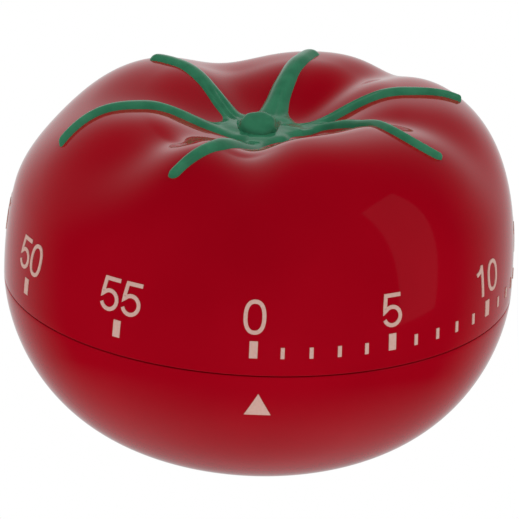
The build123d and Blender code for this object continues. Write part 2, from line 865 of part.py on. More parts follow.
# Main arbor: lower pivot, collar under the wheel, and two flats that turn with the upper shell
with BuildPart() as main_arbor:
    cylinder_between(arbor_pivot_radius, lower_plate_height + end_play, lower_plate_top + arbor_collar_rise)
    cylinder_between(
        arbor_collar_radius,
        main_wheel_height - arbor_collar_height,
        main_wheel_height,
    )
    cylinder_between(arbor_radius, main_wheel_height, hub_tube_low - arbor_flat_margin)
    with BuildSketch(Plane.XY.offset(hub_tube_low - arbor_flat_margin)):
        arbor_end(0)
    extrude(amount=arbor_top - hub_tube_low + arbor_flat_margin)
main_arbor.part.label = "main_arbor"
export_step(main_arbor.part, "parts/main_arbor.step")


def wheel_sketch(place, teeth, module, tooth_angle, bore, window_radius, window_circle):
    """Toothed disc with its bore and round windows, in the current sketch."""
    with BuildLine() as outline:
        Polyline(*gear_outline(place, teeth, module, tooth_angle), close=True)
    make_face(outline.edges())
    with Locations(place):
        Circle(bore + seat_gap, mode=Mode.SUBTRACT)
        with PolarLocations(window_circle, wheel_window_count):
            Circle(window_radius, mode=Mode.SUBTRACT)


def train_arbor(place, module, mesh_from, low, high):
    """Arbor with its two pivots and the leaves that a wheel at mesh_from drives."""
    with Locations(place):
        cylinder_between(train_pivot_radius, lower_plate_height + end_play, upper_plate_top - end_play)
        cylinder_between(train_arbor_radius, lower_plate_top + end_play, upper_plate_height - end_play)
    leaf_angle = bearing(place, mesh_from) + 180 / pinion_teeth
    with BuildSketch(Plane.XY.offset(low)) as leaves:
        with BuildLine() as outline:
            Polyline(*gear_outline(place, pinion_teeth, module, leaf_angle), close=True)
        make_face(outline.edges())
    extrude(leaves.sketch, amount=high - low)


# Main wheel: drives the second arbor, and slips on the main arbor while the timer is wound
with BuildPart() as main_wheel:
    with BuildSketch(Plane.XY.offset(main_wheel_height)):
        wheel_sketch(
            main_place,
            main_teeth,
            main_module,
            bearing(main_place, second_place),
            arbor_radius,
            main_wheel_window_radius,
            main_wheel_window_circle,
        )
    extrude(amount=main_wheel_thickness)
main_wheel.part.label = "main_wheel"
export_step(main_wheel.part, "parts/main_wheel.step")

# Clutch spring: a dished washer that presses the main wheel on its collar
clutch_height = main_wheel_height + main_wheel_thickness
with BuildPart() as clutch_spring:
    with BuildSketch(Plane.XZ):
        with BuildLine():
            Polyline(
                (clutch_radius, clutch_height),
                (clutch_radius, clutch_height + clutch_thickness),
                (arbor_radius + seat_gap, clutch_height + clutch_dish + clutch_thickness),
                (arbor_radius + seat_gap, clutch_height + clutch_dish),
                close=True,
            )
        make_face()
    revolve(axis=Axis.Z)
clutch_spring.part.label = "clutch_spring"
export_step(clutch_spring.part, "parts/clutch_spring.step")

# Clip: the split ring in the arbor that holds the clutch spring down
clip_low = clutch_height + clutch_dish + clutch_thickness
with BuildPart() as clutch_clip:
    with BuildSketch(Plane.XY.offset(clip_low)):
        Circle(clip_radius)
        Circle(arbor_radius + seat_gap, mode=Mode.SUBTRACT)
        with Locations((clip_radius, 0)):
            Rectangle(clip_radius, arbor_radius, mode=Mode.SUBTRACT)
    extrude(amount=clip_height)
clutch_clip.part.label = "clutch_clip"
export_step(clutch_clip.part, "parts/clutch_clip.step")

# Second arbor and wheel
with BuildPart() as second_arbor:
    train_arbor(
        second_place,
        main_module,
        main_place,
        main_wheel_height - pinion_overhang,
        main_wheel_height + main_wheel_thickness + pinion_overhang,
    )
second_arbor.part.label = "second_arbor"
export_step(second_arbor.part, "parts/second_arbor.step")

with BuildPart() as second_wheel:
    with BuildSketch(Plane.XY.offset(second_wheel_height)):
        wheel_sketch(
            second_place,
            second_teeth,
            second_module,
            bearing(second_place, third_place),
            train_arbor_radius,
            second_wheel_window_radius,
            second_wheel_window_circle,
        )
    extrude(amount=wheel_thickness)
second_wheel.part.label = "second_wheel"
export_step(second_wheel.part, "parts/second_wheel.step")

# Third arbor and wheel
with BuildPart() as third_arbor:
    train_arbor(
        third_place,
        second_module,
        second_place,
        second_wheel_height - pinion_overhang,
        second_wheel_height + wheel_thickness + pinion_overhang,
    )
third_arbor.part.label = "third_arbor"
export_step(third_arbor.part, "parts/third_arbor.step")

with BuildPart() as third_wheel:
    with BuildSketch(Plane.XY.offset(third_wheel_height)):
        wheel_sketch(
            third_place,
            third_teeth,
            third_module,
            bearing(third_place, escape_place),
            train_arbor_radius,
            third_wheel_window_radius,
            third_wheel_window_circle,
        )
    extrude(amount=wheel_thickness)
third_wheel.part.label = "third_wheel"
export_step(third_wheel.part, "parts/third_wheel.step")

# Escape arbor and wheel
with BuildPart() as escape_arbor:
    train_arbor(
        escape_place,
        third_module,
        third_place,
        third_wheel_height - pinion_overhang,
        third_wheel_height + wheel_thickness + pinion_overhang,
    )
escape_arbor.part.label = "escape_arbor"
export_step(escape_arbor.part, "parts/escape_arbor.step")

with BuildPart() as escape_wheel:
    with BuildSketch(Plane.XY.offset(escape_wheel_height)):
        with BuildLine():
            Polyline(*escape_outline(escape_place, bearing(escape_place, anchor_place)), close=True)
        make_face()
        with Locations(escape_place):
            Circle(train_arbor_radius + seat_gap, mode=Mode.SUBTRACT)
            with PolarLocations(escape_window_circle, wheel_window_count):
                Circle(escape_window_radius, mode=Mode.SUBTRACT)
    extrude(amount=escape_thickness)
escape_wheel.part.label = "escape_wheel"
export_step(escape_wheel.part, "parts/escape_wheel.step")

# Anchor arbor: swings to and fro with the pallets below the upper plate and the balance above it
balance_top = balance_height + balance_thickness
with BuildPart() as anchor_arbor:
    with Locations(anchor_place):
        cylinder_between(train_pivot_radius, lower_plate_height + end_play, lower_plate_top + end_play)
        cylinder_between(
            train_arbor_radius, lower_plate_top + end_play, balance_top + balance_arbor_overhang
        )
anchor_arbor.part.label = "anchor_arbor"
export_step(anchor_arbor.part, "parts/anchor_arbor.step")

# Anchor: a plate with two arms, each with a pin that lets the escape wheel past tooth by tooth
pallet_circle = escape_radius + pallet_clearance + pallet_pin_radius
anchor_to_escape = bearing(anchor_place, escape_place)
escape_to_anchor = anchor_to_escape + 180
pallet_places = [
    shifted(escape_place, pallet_circle, escape_to_anchor + side * pallet_spread_angle)
    for side in (-1, 1)
]
with BuildPart() as pallet_anchor:
    with BuildSketch(Plane.XY.offset(escape_wheel_height + escape_thickness + end_play)):
        with Locations(anchor_place):
            Circle(anchor_hub_radius)
        for place in pallet_places:
            reach = hypot(place[0] - anchor_place[0], place[1] - anchor_place[1])
            middle = ((place[0] + anchor_place[0]) / 2, (place[1] + anchor_place[1]) / 2)
            with Locations(Location((*middle, 0), (0, 0, bearing(anchor_place, place)))):
                SlotCenterToCenter(reach, anchor_arm_width)
            with Locations(place):
                Circle(pallet_pin_radius + seat_gap, mode=Mode.SUBTRACT)
        with Locations(anchor_place):
            Circle(train_arbor_radius + seat_gap, mode=Mode.SUBTRACT)
    extrude(amount=anchor_thickness)
pallet_anchor.part.label = "pallet_anchor"
export_step(pallet_anchor.part, "parts/pallet_anchor.step")

# Pallet pins: hardened pins pressed into the anchor's two arms
pallet_pin_top = escape_wheel_height + escape_thickness + end_play + anchor_thickness
with BuildPart() as pallet_pins:
    with Locations(*pallet_places):
        cylinder_between(pallet_pin_radius, pallet_pin_top - pallet_pin_length, pallet_pin_top)
pallet_pins.part.label = "pallet_pins"
export_step(pallet_pins.part, "parts/pallet_pins.step")

# Balance: the heavy ring whose swing sets the timer's rate
with BuildPart() as balance_wheel:
    with BuildSketch(Plane.XY.offset(balance_height)):
        with Locations(anchor_place):
            Circle(balance_radius)
            Circle(balance_radius - balance_rim_width, mode=Mode.SUBTRACT)
            Rectangle(2 * balance_radius - balance_rim_width, balance_bar_width)
            Circle(balance_hub_radius)
            Circle(train_arbor_radius + seat_gap, mode=Mode.SUBTRACT)
    extrude(amount=balance_thickness)
balance_wheel.part.label = "balance_wheel"
export_step(balance_wheel.part, "parts/balance_wheel.step")

# Mainspring: a flat strip wound round the main arbor, its outer end on a post
spring_top = upper_plate_height - spring_drop
spring_low = spring_top - spring_height


def spiral_points(outset):
    """Points along one face of the wound strip, from the arbor outwards."""
    points_per_turn = 16
    count = spring_turns * points_per_turn
    points = []
    for step in range(count + 1):
        along = step / count
        radius = spring_inner_radius + (spring_outer_radius - spring_inner_radius) * along + outset
        points.append(polar(radius, 360 * spring_turns * along))
    return points


with BuildPart() as mainspring:
    with BuildSketch(Plane.XY.offset(spring_low)):
        with BuildLine():
            inner_face = spiral_points(0)
            outer_face = spiral_points(spring_strip)
            Spline(*inner_face)
            Spline(*outer_face)
            Line(inner_face[0], outer_face[0])
            Line(inner_face[-1], outer_face[-1])
        make_face()
    extrude(amount=spring_height)
mainspring.part.label = "mainspring"
export_step(mainspring.part, "parts/mainspring.step")

# Spring post: riveted under the upper plate, holds the mainspring's outer end
with BuildPart() as spring_post:
    with Locations(polar(spring_outer_radius + spring_strip + spring_post_radius, 0)):
        cylinder_between(spring_post_radius, spring_low - spring_post_foot, upper_plate_height)
spring_post.part.label = "spring_post"
export_step(spring_post.part, "parts/spring_post.step")

# Strike cam: turns with the dial. Its lower disc has the stop lug, its upper disc the notch at 0
stop_lug_angle = stop_pin_angle - degrees(
    asin((stop_pin_radius + stop_lug_width / 2) / stop_pin_circle)
) - stop_play_angle / 2
with BuildPart() as strike_cam:
    with BuildSketch(Plane.XY.offset(stop_disc_height)):
        Circle(stop_disc_radius)
        with Locations(Location((0, 0, 0), (0, 0, stop_lug_angle))):
            Rectangle(stop_lug_reach, stop_lug_width, align=(Align.MIN, Align.CENTER))
        Circle(arbor_radius + seat_gap, mode=Mode.SUBTRACT)
    extrude(amount=stop_disc_thickness)
    with BuildSketch(Plane.XY.offset(cam_height)):
        Circle(cam_radius)
        with BuildLine():
            notch_low = polar(cam_radius - cam_notch_depth, follower_angle - cam_notch_angle / 2)
            notch_mid = polar(cam_radius - cam_notch_depth, follower_angle)
            notch_high = polar(cam_radius - cam_notch_depth, follower_angle + cam_notch_angle / 2)
            outside_low = polar(cam_radius + overrun, follower_angle - cam_notch_angle / 2)
            outside_mid = polar(cam_radius + overrun, follower_angle)
            outside_high = polar(cam_radius + overrun, follower_angle + cam_notch_angle / 2)
            ThreePointArc(notch_low, notch_mid, notch_high)
            ThreePointArc(outside_low, outside_mid, outside_high)
            Line(notch_low, outside_low)
            Line(notch_high, outside_high)
        make_face(mode=Mode.SUBTRACT)
        Circle(arbor_radius + seat_gap, mode=Mode.SUBTRACT)
    extrude(amount=cam_thickness)
strike_cam.part.label = "strike_cam"
export_step(strike_cam.part, "parts/strike_cam.step")

# Stop pin: stands in the upper plate in the way of the lug, so the dial turns short of a full turn
with BuildPart() as stop_pin:
    with Locations(stop_pin_place):
        cylinder_between(stop_pin_radius, upper_plate_height, cam_height - stop_pin_top_gap)
stop_pin.part.label = "stop_pin"
export_step(stop_pin.part, "parts/stop_pin.step")

# Bell: a thin steel cup, open upwards, hung on a post under the lower plate
bell_rim = bell_rise + bell_height
with BuildPart() as bell:
    with BuildSketch(Plane.XZ):
        with BuildLine():
            crown = (bell_crown_radius, bell_rise)
            rim = (bell_radius, bell_rim)
            reach = bell_radius - bell_crown_radius
            outer_curve = EllipticalCenterArc(
                (bell_crown_radius, bell_rim), reach, bell_height, 270, arc_size=90
            )
            inner_curve = EllipticalCenterArc(
                (bell_crown_radius, bell_rim),
                reach - bell_wall,
                bell_height - bell_wall,
                270,
                arc_size=90,
            )
            hole = screw_thread_radius + running_gap
            Line(outer_curve @ 1, inner_curve @ 1)
            Polyline(
                outer_curve @ 0,
                (hole, bell_rise),
                (hole, bell_rise + bell_wall),
                inner_curve @ 0,
            )
        make_face()
    revolve(axis=Axis.Z)
bell.part.label = "bell"
export_step(bell.part, "parts/bell.step")

# Bell post: riveted under the lower plate, threaded from below for the bell screw
with BuildPart() as bell_post:
    cylinder_between(bell_post_radius, bell_rise + bell_wall, lower_plate_height)
    bore_between(
        screw_thread_radius + seat_gap,
        bell_rise,
        bell_rise + bell_wall + bell_thread_length,
    )
bell_post.part.label = "bell_post"
export_step(bell_post.part, "parts/bell_post.step")

# Bell screw: holds the bell's crown against the post
with BuildPart() as bell_screw:
    cylinder_between(bell_screw_head_radius, bell_rise - bell_screw_head_height, bell_rise)
    cylinder_between(
        screw_thread_radius, bell_rise, bell_rise + bell_wall + bell_thread_length - end_play
    )
    with BuildSketch(Plane.XY.offset(bell_rise - bell_screw_head_height)):
        Rectangle(2 * bell_screw_head_radius + overrun, screw_slot_width)
    extrude(amount=screw_slot_depth, mode=Mode.SUBTRACT)
bell_screw.part.label = "bell_screw"
export_step(bell_screw.part, "parts/bell_screw.step")

# Hammer shaft: upright in both plates, turns the hammer arm below and the follower above
follower_top = follower_height + follower_thickness
with BuildPart() as hammer_shaft:
    with Locations(hammer_place):
        cylinder_between(hammer_shaft_radius, hammer_arm_height, follower_top)
hammer_shaft.part.label = "hammer_shaft"
export_step(hammer_shaft.part, "parts/hammer_shaft.step")

# Hammer head: the striker beside the bell's rim, held off it by the strike gap
hammer_head_circle = bell_radius + hammer_strike_gap + hammer_head_radius
hammer_head_place = polar(hammer_head_circle, hammer_head_angle)
with BuildPart() as hammer_head:
    with Locations(hammer_head_place):
        cylinder_between(
            hammer_head_radius, hammer_arm_height - hammer_head_length, hammer_arm_height
        )
    chamfer(hammer_head.edges().filter_by(GeomType.CIRCLE).group_by(Axis.Z)[0], hammer_head_edge)
hammer_head.part.label = "hammer_head"
export_step(hammer_head.part, "parts/hammer_head.step")


def arm_between(start, end, width):
    """Round-ended arm from one place to another in the current sketch."""
    length = hypot(end[0] - start[0], end[1] - start[1])
    middle = ((start[0] + end[0]) / 2, (start[1] + end[1]) / 2)
    with Locations(Location((*middle, 0), (0, 0, bearing(start, end)))):
        SlotCenterToCenter(length, width)


# Hammer arm: passes over the bell's rim and carries the head
with BuildPart() as hammer_arm:
    with BuildSketch(Plane.XY.offset(hammer_arm_height)):
        arm_between(hammer_place, hammer_head_place, hammer_arm_width)
        with Locations(hammer_place):
            Circle(hammer_hub_radius)
            Circle(hammer_shaft_radius + seat_gap, mode=Mode.SUBTRACT)
    extrude(amount=hammer_arm_thickness)
hammer_arm.part.label = "hammer_arm"
export_step(hammer_arm.part, "parts/hammer_arm.step")

# Follower: reaches from the shaft to the edge of the strike cam
elbow_place = polar(follower_elbow_circle, follower_angle)
nose_place = polar(cam_radius + follower_gap + follower_nose_width / 2, follower_angle)
with BuildPart() as follower_arm:
    with BuildSketch(Plane.XY.offset(follower_height)):
        arm_between(hammer_place, elbow_place, hammer_arm_width)
        arm_between(elbow_place, nose_place, follower_nose_width)
        with Locations(hammer_place):
            Circle(hammer_hub_radius)
            Circle(hammer_shaft_radius + seat_gap, mode=Mode.SUBTRACT)
    extrude(amount=follower_thickness)
follower_arm.part.label = "follower_arm"
export_step(follower_arm.part, "parts/follower_arm.step")

# Hammer spring: a small torsion coil round the shaft that swings the hammer to the bell
spring_coil_low = upper_plate_top + torsion_spring_wire / 2
with BuildPart() as hammer_spring:
    with BuildLine() as coil:
        Helix(
            torsion_spring_pitch,
            torsion_spring_turns * torsion_spring_pitch,
            torsion_spring_radius,
            center=(*hammer_place, spring_coil_low),
        )
    with BuildSketch(Plane(origin=coil.line @ 0, z_dir=coil.line % 0)):
        Circle(torsion_spring_wire / 2)
    sweep()
hammer_spring.part.label = "hammer_spring"
export_step(hammer_spring.part, "parts/hammer_spring.step")
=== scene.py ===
import math

import bmesh
import bpy
import numpy as np
from bpy.props import FloatProperty, FloatVectorProperty, PointerProperty
from mathutils import Matrix, Vector


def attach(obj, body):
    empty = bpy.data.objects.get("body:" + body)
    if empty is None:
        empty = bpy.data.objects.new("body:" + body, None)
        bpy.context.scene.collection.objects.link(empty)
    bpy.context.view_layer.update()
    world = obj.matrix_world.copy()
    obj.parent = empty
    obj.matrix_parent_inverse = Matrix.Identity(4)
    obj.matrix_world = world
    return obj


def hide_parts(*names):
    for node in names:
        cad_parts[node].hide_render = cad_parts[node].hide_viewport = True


bl_info = {
    "name": "Tomato Kitchen Timer",
    "version": (1, 0, 0),
    "blender": (4, 5, 0),
    "location": "View3D > Sidebar > Kitchen Timer",
    "description": "Dresses the frame of a tomato-shaped 60 minute kitchen timer",
    "category": "Add Mesh",
}

# The skin's shape is worked out in millimetres, as the part's own drawing gives it, and put
# into metres where a mesh is made. An azimuth is counted in degrees from -Y towards +X.
# The parting gap, the sepals, the hub, the stem and the figures' stroke are given here, and
# differ a little from the part's.
MM = 0.001

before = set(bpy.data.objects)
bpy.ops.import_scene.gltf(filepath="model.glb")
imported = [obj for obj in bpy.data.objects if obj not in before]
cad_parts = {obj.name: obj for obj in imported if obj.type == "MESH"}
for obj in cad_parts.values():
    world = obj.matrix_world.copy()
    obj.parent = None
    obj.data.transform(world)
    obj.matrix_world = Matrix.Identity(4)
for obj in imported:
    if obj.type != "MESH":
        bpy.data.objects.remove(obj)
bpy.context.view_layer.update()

# Powers of the rounded outline: higher is squarer. The right side and the back are fuller.
DOME_POWER = 2.65
DOME_POWER_RIGHT = 0.18
DOME_POWER_BACK = 0.6
DIMPLE_POWER = 1.12
CREST_WIDEST_DROP = 0.8
BOWL_HEIGHT_POWER = 1.79
BOWL_ROUND_POWER = 3.13
BOWL_WIDEST_RISE = 0.55
BOWL_SOLE_HEIGHT = 0.1

# Furrows between the lobes: azimuth, share of the deepest furrow, half width in degrees
FURROW_START_RISE = 12.0
FURROW_FULL_RISE = 24.5
FURROWS = [
    (-10, 0.99, 18),
    (73, 0.32, 12),
    (137, 0.50, 11.5),
    (187.5, 0.36, 26),
    (194, 0.60, 16),
    (264, 0.73, 30.5),
    (-51.5, 1.00, 20.5),
]

# Sepals: azimuth at the hub, half way and at the tip, share of the widest radius where the tip
# ends, and the shares of the widest sepal at the base, half way and at the tip
SEPALS = [
    (-142, -144, -139, 0.70, 0.70, 0.66, 0.50),
    (-92, -95, -78, 0.795, 0.88, 0.58, 0.36),
    (-10, -23.5, -30.5, 0.68, 0.70, 0.50, 0.36),
    (173, 168.5, 163.5, 0.70, 1.05, 0.74, 0.68),
    (116, 106.5, 103, 0.79, 0.70, 0.54, 0.28),
    (136, 68, 58, 0.77, 0.60, 0.40, 0.28),
    # The last is a short tongue beside the stem
    (98, 98, 98, 0.195, 0.40, 0.36, 0.34),
]

SEPAL_START = 2.8
HUB_AZIMUTH = -155
STEM_TOP = (-0.85, -0.2)

# Creases along the sepals: sepal, place across it from -1 to 1, start and end along it, depth
CREASES = [
    (0, 0.55, 0.10, 0.42, 0.30),
    (0, 0.05, 0.12, 0.36, 0.22),
    (1, -0.45, 0.12, 0.40, 0.28),
    (3, -0.15, 0.10, 0.40, 0.12),
    (4, 0.45, 0.10, 0.46, 0.30),
    (4, -0.15, 0.22, 0.48, 0.18),
    (5, 0.30, 0.16, 0.34, 0.16),
]

AROUND = 240
MINUTES = 60
MINUTES_PER_NUMERAL = 5
FINE_TICK_MINUTES = 15
PRINT_AZIMUTH = -1.4


def linear(hex_colour):
    """Linear colour with alpha from an sRGB hex value such as #A0C0E0."""
    channels = [int(hex_colour[place : place + 2], 16) / 255 for place in (1, 3, 5)]
    return [c / 12.92 if c <= 0.04045 else ((c + 0.055) / 1.055) ** 2.4 for c in channels] + [1.0]


def length_prop(name, description, millimetres):
    """Length that a user can change, with its default given in millimetres."""
    return FloatProperty(name=name, description=description, default=millimetres * MM, min=0, unit="LENGTH")


def angle_prop(name, description, degrees):
    """Angle that a user can change, with its default given in degrees."""
    return FloatProperty(name=name, description=description, default=math.radians(degrees), subtype="ANGLE")


def colour_prop(name, description, hex_colour):
    """Surface colour that a user can change."""
    default = linear(hex_colour)
    return FloatVectorProperty(
        name=name, description=description, subtype="COLOR", size=4, min=0, max=1, default=default
    )


class ShellSizes(bpy.types.PropertyGroup):
    """Outer form of the two red shells."""

    widest_radius: length_prop("Widest Radius", "Radius at the parting line", 35.25)
    parting_height: length_prop("Parting Height", "Height of the parting line over the table", 24.0)
    parting_gap: length_prop("Parting Gap", "Gap between the dial and the bowl", 0.14)
    crest_rise: length_prop("Crest Rise", "Height of the lobes over the parting line", 25.4)
    crest_tilt: length_prop("Crest Tilt", "How much lower the front lobes are", 0.46)
    crest_radius: length_prop("Crest Radius", "Distance of the lobes' tops from the middle", 18.4)
    crest_front_shift: length_prop("Crest Front Shift", "How much nearer the front lobes' tops are", 2.5)
    crest_right_shift: length_prop("Crest Right Shift", "How much further the right lobes' tops are", 0.8)
    dimple_depth: length_prop("Dimple Depth", "Depth of the hollow round the stem", 4.9)
    dimple_radius: length_prop("Dimple Radius", "Radius of the hollow's flat floor", 5.0)
    wall: length_prop("Wall", "Thickness of the mouldings", 2.0)
    furrow_depth: length_prop("Furrow Depth", "Depth of the deepest furrow between lobes", 2.9)
    edge_radius: length_prop("Edge Radius", "Rounding of the edges at the parting line", 0.12)
    colour: colour_prop("Plastic Colour", "Red of the moulded shells", "#A30117")


class CalyxSizes(bpy.types.PropertyGroup):
    """The green star and the stub of the stem."""

    relief: length_prop("Relief", "Height of the sepals over the shell", 0.8)
    hub_radius: length_prop("Hub Radius", "Radius of the patch round the stem", 5.5)
    hub_offset: length_prop("Hub Offset", "How far the patch lies behind the stem", 1.6)
    sepal_width: length_prop("Sepal Width", "Width of the widest sepal at its base", 4.4)
    stem_radius: length_prop("Stem Radius", "Radius of the stem's top", 2.45)
    stem_rise: length_prop("Stem Rise", "Height of the stem's top over the hollow", 1.75)
    stem_lean: angle_prop("Stem Lean", "Lean of the stem towards the front", 24)
    colour: colour_prop("Paint Colour", "Green of the painted calyx", "#36825F")


class PrintSizes(bpy.types.PropertyGroup):
    """Printed numerals, ticks and pointer."""

    thickness: length_prop("Ink Thickness", "Height of the ink over the plastic", 0.09)
    numeral_height: length_prop("Numeral Height", "Height of the figures", 4.3)
    numeral_width: length_prop("Numeral Width", "Width of one figure", 2.85)
    numeral_spacing: length_prop("Numeral Spacing", "Gap between two figures", 0.4)
    numeral_rise: length_prop("Numeral Rise", "Height of the figures over the parting line", 5.5)
    stroke: length_prop("Stroke", "Width of the figures' lines", 0.5)
    tick_rise: length_prop("Tick Rise", "Height of the ticks over the parting line", 2.45)
    major_width: length_prop("Major Tick Width", "Width of a tick at a numeral", 1.05)
    major_height: length_prop("Major Tick Height", "Height of a tick at a numeral", 2.2)
    minor_width: length_prop("Minor Tick Width", "Width of a minute tick", 0.5)
    minor_height: length_prop("Minor Tick Height", "Height of a minute tick", 1.45)
    pointer_width: length_prop("Pointer Width", "Width of the pointer's base", 3.4)
    pointer_height: length_prop("Pointer Height", "Height of the pointer", 3.2)
    pointer_drop: length_prop("Pointer Drop", "Distance of the pointer's apex below the parting line", 2.5)
    colour: colour_prop("Ink Colour", "Pale ink of the figures", "#D8B1A5")


class BowlSizes(bpy.types.PropertyGroup):
    """Foot, rim, posts and sound slots of the lower shell."""

    foot_radius: length_prop("Foot Radius", "Outer radius of the foot ring", 15.0)
    foot_width: length_prop("Foot Width", "Width of the foot ring", 2.5)
    foot_recess: length_prop("Foot Recess", "Depth of the sole inside the foot ring", 0.8)
    sole: length_prop("Sole Height", "Height of the inner floor", 2.8)
    rim_rise: length_prop("Rim Rise", "Height of the guide rim over the parting line", 1.4)
    rim_wall: length_prop("Rim Wall", "Thickness of the guide rim", 1.0)
    rim_gap: length_prop("Rim Gap", "Gap between the guide rim and the dial", 0.35)
    post_radius: length_prop("Post Radius", "Radius of the screw posts", 3.0)
    post_circle: length_prop("Post Circle", "Distance of the posts from the middle", 24.5)
    post_height: length_prop("Post Height", "Height of the posts' tops", 13.0)
    post_bore: length_prop("Post Bore", "Radius of the screw holes", 1.01)
    slot_length: length_prop("Slot Length", "Length of the sound slots", 6.0)
    slot_width: length_prop("Slot Width", "Width of the sound slots", 1.6)
    slot_circle: length_prop("Slot Circle", "Distance of the slots from the middle", 8.0)


class StudioSettings(bpy.types.PropertyGroup):
    """Floor, lights and camera."""

    camera_distance: length_prop("Camera Distance", "Distance of the camera from its aim", 325.7)
    aim_height: length_prop("Aim Height", "Height that the camera looks at", 25.99)
    elevation: angle_prop("Elevation", "Camera angle over the table", 21.4)
    turn: angle_prop("Turn", "Camera angle round the timer", -1.2)
    roll: angle_prop("Roll", "Tilt of the picture", 2.6)
    lens: FloatProperty(name="Lens", description="Focal length", default=162.2, min=1, unit="CAMERA")
    floor_colour: colour_prop("Floor Colour", "White of the studio table", "#F7F6F4")


def ease(share):
    """0 to 1 with a soft start and end."""
    share = np.clip(share, 0, 1)
    return share * share * (3 - 2 * share)


def around(radius, azimuth):
    """Plan point at a radius and an azimuth."""
    turn = np.radians(azimuth)
    return radius * np.sin(turn), -radius * np.cos(turn)


def turned_away(azimuth, middle):
    """Azimuth from a middle direction, from -180 to 180 degrees."""
    return (azimuth - middle + 180) % 360 - 180


def dome_power(azimuth):
    """Squareness of the dome's outline at an azimuth."""
    turn = np.radians(azimuth)
    return DOME_POWER + DOME_POWER_RIGHT * np.sin(turn) - DOME_POWER_BACK * np.cos(turn)


def dome_levels(shell, azimuth):
    """Heights of the widest line, the lip, the crest and the dimple's floor, in millimetres."""
    parting = shell.parting_height / MM
    crest = parting + shell.crest_rise / MM
    top = crest - shell.crest_tilt / MM * np.cos(np.radians(azimuth))
    lip = parting + shell.parting_gap / MM / 2
    return parting - CREST_WIDEST_DROP, lip, top, crest - shell.dimple_depth / MM


def lobe_radius(shell, azimuth):
    """Distance of the lobes' tops from the middle at an azimuth, in millimetres."""
    turn = np.radians(azimuth)
    shift = shell.crest_right_shift * np.sin(turn) - shell.crest_front_shift * np.cos(turn)
    return (shell.crest_radius + shift) / MM


def dome_point(shell, share, azimuth):
    """Radius and height of the smooth dome: share 0 is the lip, 1 the crest, 2 the dimple."""
    widest, lip, top, floor = dome_levels(shell, azimuth)
    power = dome_power(azimuth)
    wide_radius, crest_radius = shell.widest_radius / MM, lobe_radius(shell, azimuth)
    lip_angle = np.arcsin(((lip - widest) / (top - widest)) ** (power / 2))
    climb = np.clip(share, 0, 1)
    ahead, behind = climb ** (power / 2), (1 - climb) ** (power / 2)
    rise = lip_angle + (np.pi / 2 - lip_angle) * ahead / (ahead + behind)
    out = np.maximum(np.cos(rise), 0) ** (2 / power)
    up = np.sin(rise) ** (2 / power)
    fall = np.clip(share - 1, 0, 1)
    radius = crest_radius + (wide_radius - crest_radius) * out
    radius = radius + (shell.dimple_radius / MM - crest_radius) * fall
    dimple = floor + (top - floor) * (1 + np.cos(np.pi * fall**DIMPLE_POWER)) / 2
    return radius, np.where(share <= 1, widest + (top - widest) * up, dimple)


def skin_point(shell, share, azimuth, lift=0):
    """Points of the lobed skin in millimetres, lifted outwards along the profile's normal."""
    share, azimuth = np.broadcast_arrays(np.asarray(share, float), np.asarray(azimuth, float))
    step = 0.001
    radius, height = dome_point(shell, share, azimuth)
    before = dome_point(shell, np.maximum(share - step, 0), azimuth)
    after = dome_point(shell, np.minimum(share + step, 2), azimuth)
    run, climb = after[0] - before[0], after[1] - before[1]
    length = np.hypot(run, climb)
    run = np.where(share <= 0, 0, np.where(share >= 2, -length, run))
    climb = np.where(share <= 0, length, np.where(share >= 2, 0, climb))
    depth = np.zeros_like(radius)
    for middle, depth_share, width in FURROWS:
        away = turned_away(azimuth, middle)
        depth += shell.furrow_depth / MM * depth_share * np.exp(-((away / width) ** 2))
    start = shell.parting_height / MM + FURROW_START_RISE
    rising = ease((height - start) / (FURROW_FULL_RISE - FURROW_START_RISE))
    depth *= np.where(share <= 1, rising, 1 - ease(share - 1))
    shift = lift - depth
    x, y = around(radius + shift * climb / length, azimuth)
    return np.stack([x, y, height - shift * run / length], -1)


def bowl_radius(shell, height, inset=0, low=BOWL_SOLE_HEIGHT):
    """Radius of the bowl's skin at a height, in millimetres."""
    top = shell.parting_height / MM + BOWL_WIDEST_RISE
    down = np.clip((top - height) / (top - low), 0, 1)
    return (shell.widest_radius / MM - inset) * (1 - down**BOWL_HEIGHT_POWER) ** (1 / BOWL_ROUND_POWER)


def bowl_height(shell, radius):
    """Height of the bowl's outer skin at a radius, in millimetres."""
    top = shell.parting_height / MM + BOWL_WIDEST_RISE
    fall = (1 - (radius / (shell.widest_radius / MM)) ** BOWL_ROUND_POWER) ** (1 / BOWL_HEIGHT_POWER)
    return top - (top - BOWL_SOLE_HEIGHT) * fall


def solid_mesh(name, points, faces, sharp_angle=None):
    """Mesh from millimetre points with its normals outwards, smooth up to a sharp angle if given."""
    mesh = bpy.data.meshes.new(name)
    mesh.from_pydata((np.asarray(points) * MM).tolist(), [], faces)
    build = bmesh.new()
    build.from_mesh(mesh)
    bmesh.ops.recalc_face_normals(build, faces=build.faces)
    if sharp_angle is not None:
        for face in build.faces:
            face.smooth = True
        for edge in build.edges:
            edge.smooth = edge.calc_face_angle(0) < math.radians(sharp_angle)
    build.to_mesh(mesh)
    build.free()
    return mesh


def add_piece(name, body, nodes, slot, points, faces, material, sharp_angle=40):
    """Makes a piece from millimetre points, puts it on its body and in the place of its CAD nodes."""
    mesh = solid_mesh(name, points, faces, sharp_angle)
    mesh.materials.append(material)
    piece = bpy.data.objects.new(name, mesh)
    bpy.context.scene.collection.objects.link(piece)
    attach(piece, body)
    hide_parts(*nodes)
    return piece


def ring_faces(ring_count, around_count):
    """Quads between rings of points that lie one after the other."""
    faces = []
    for ring in range(ring_count - 1):
        low = ring * around_count
        high = low + around_count
        for step in range(around_count):
            after = (step + 1) % around_count
            faces.append((low + step, low + after, high + after, high + step))
    return faces


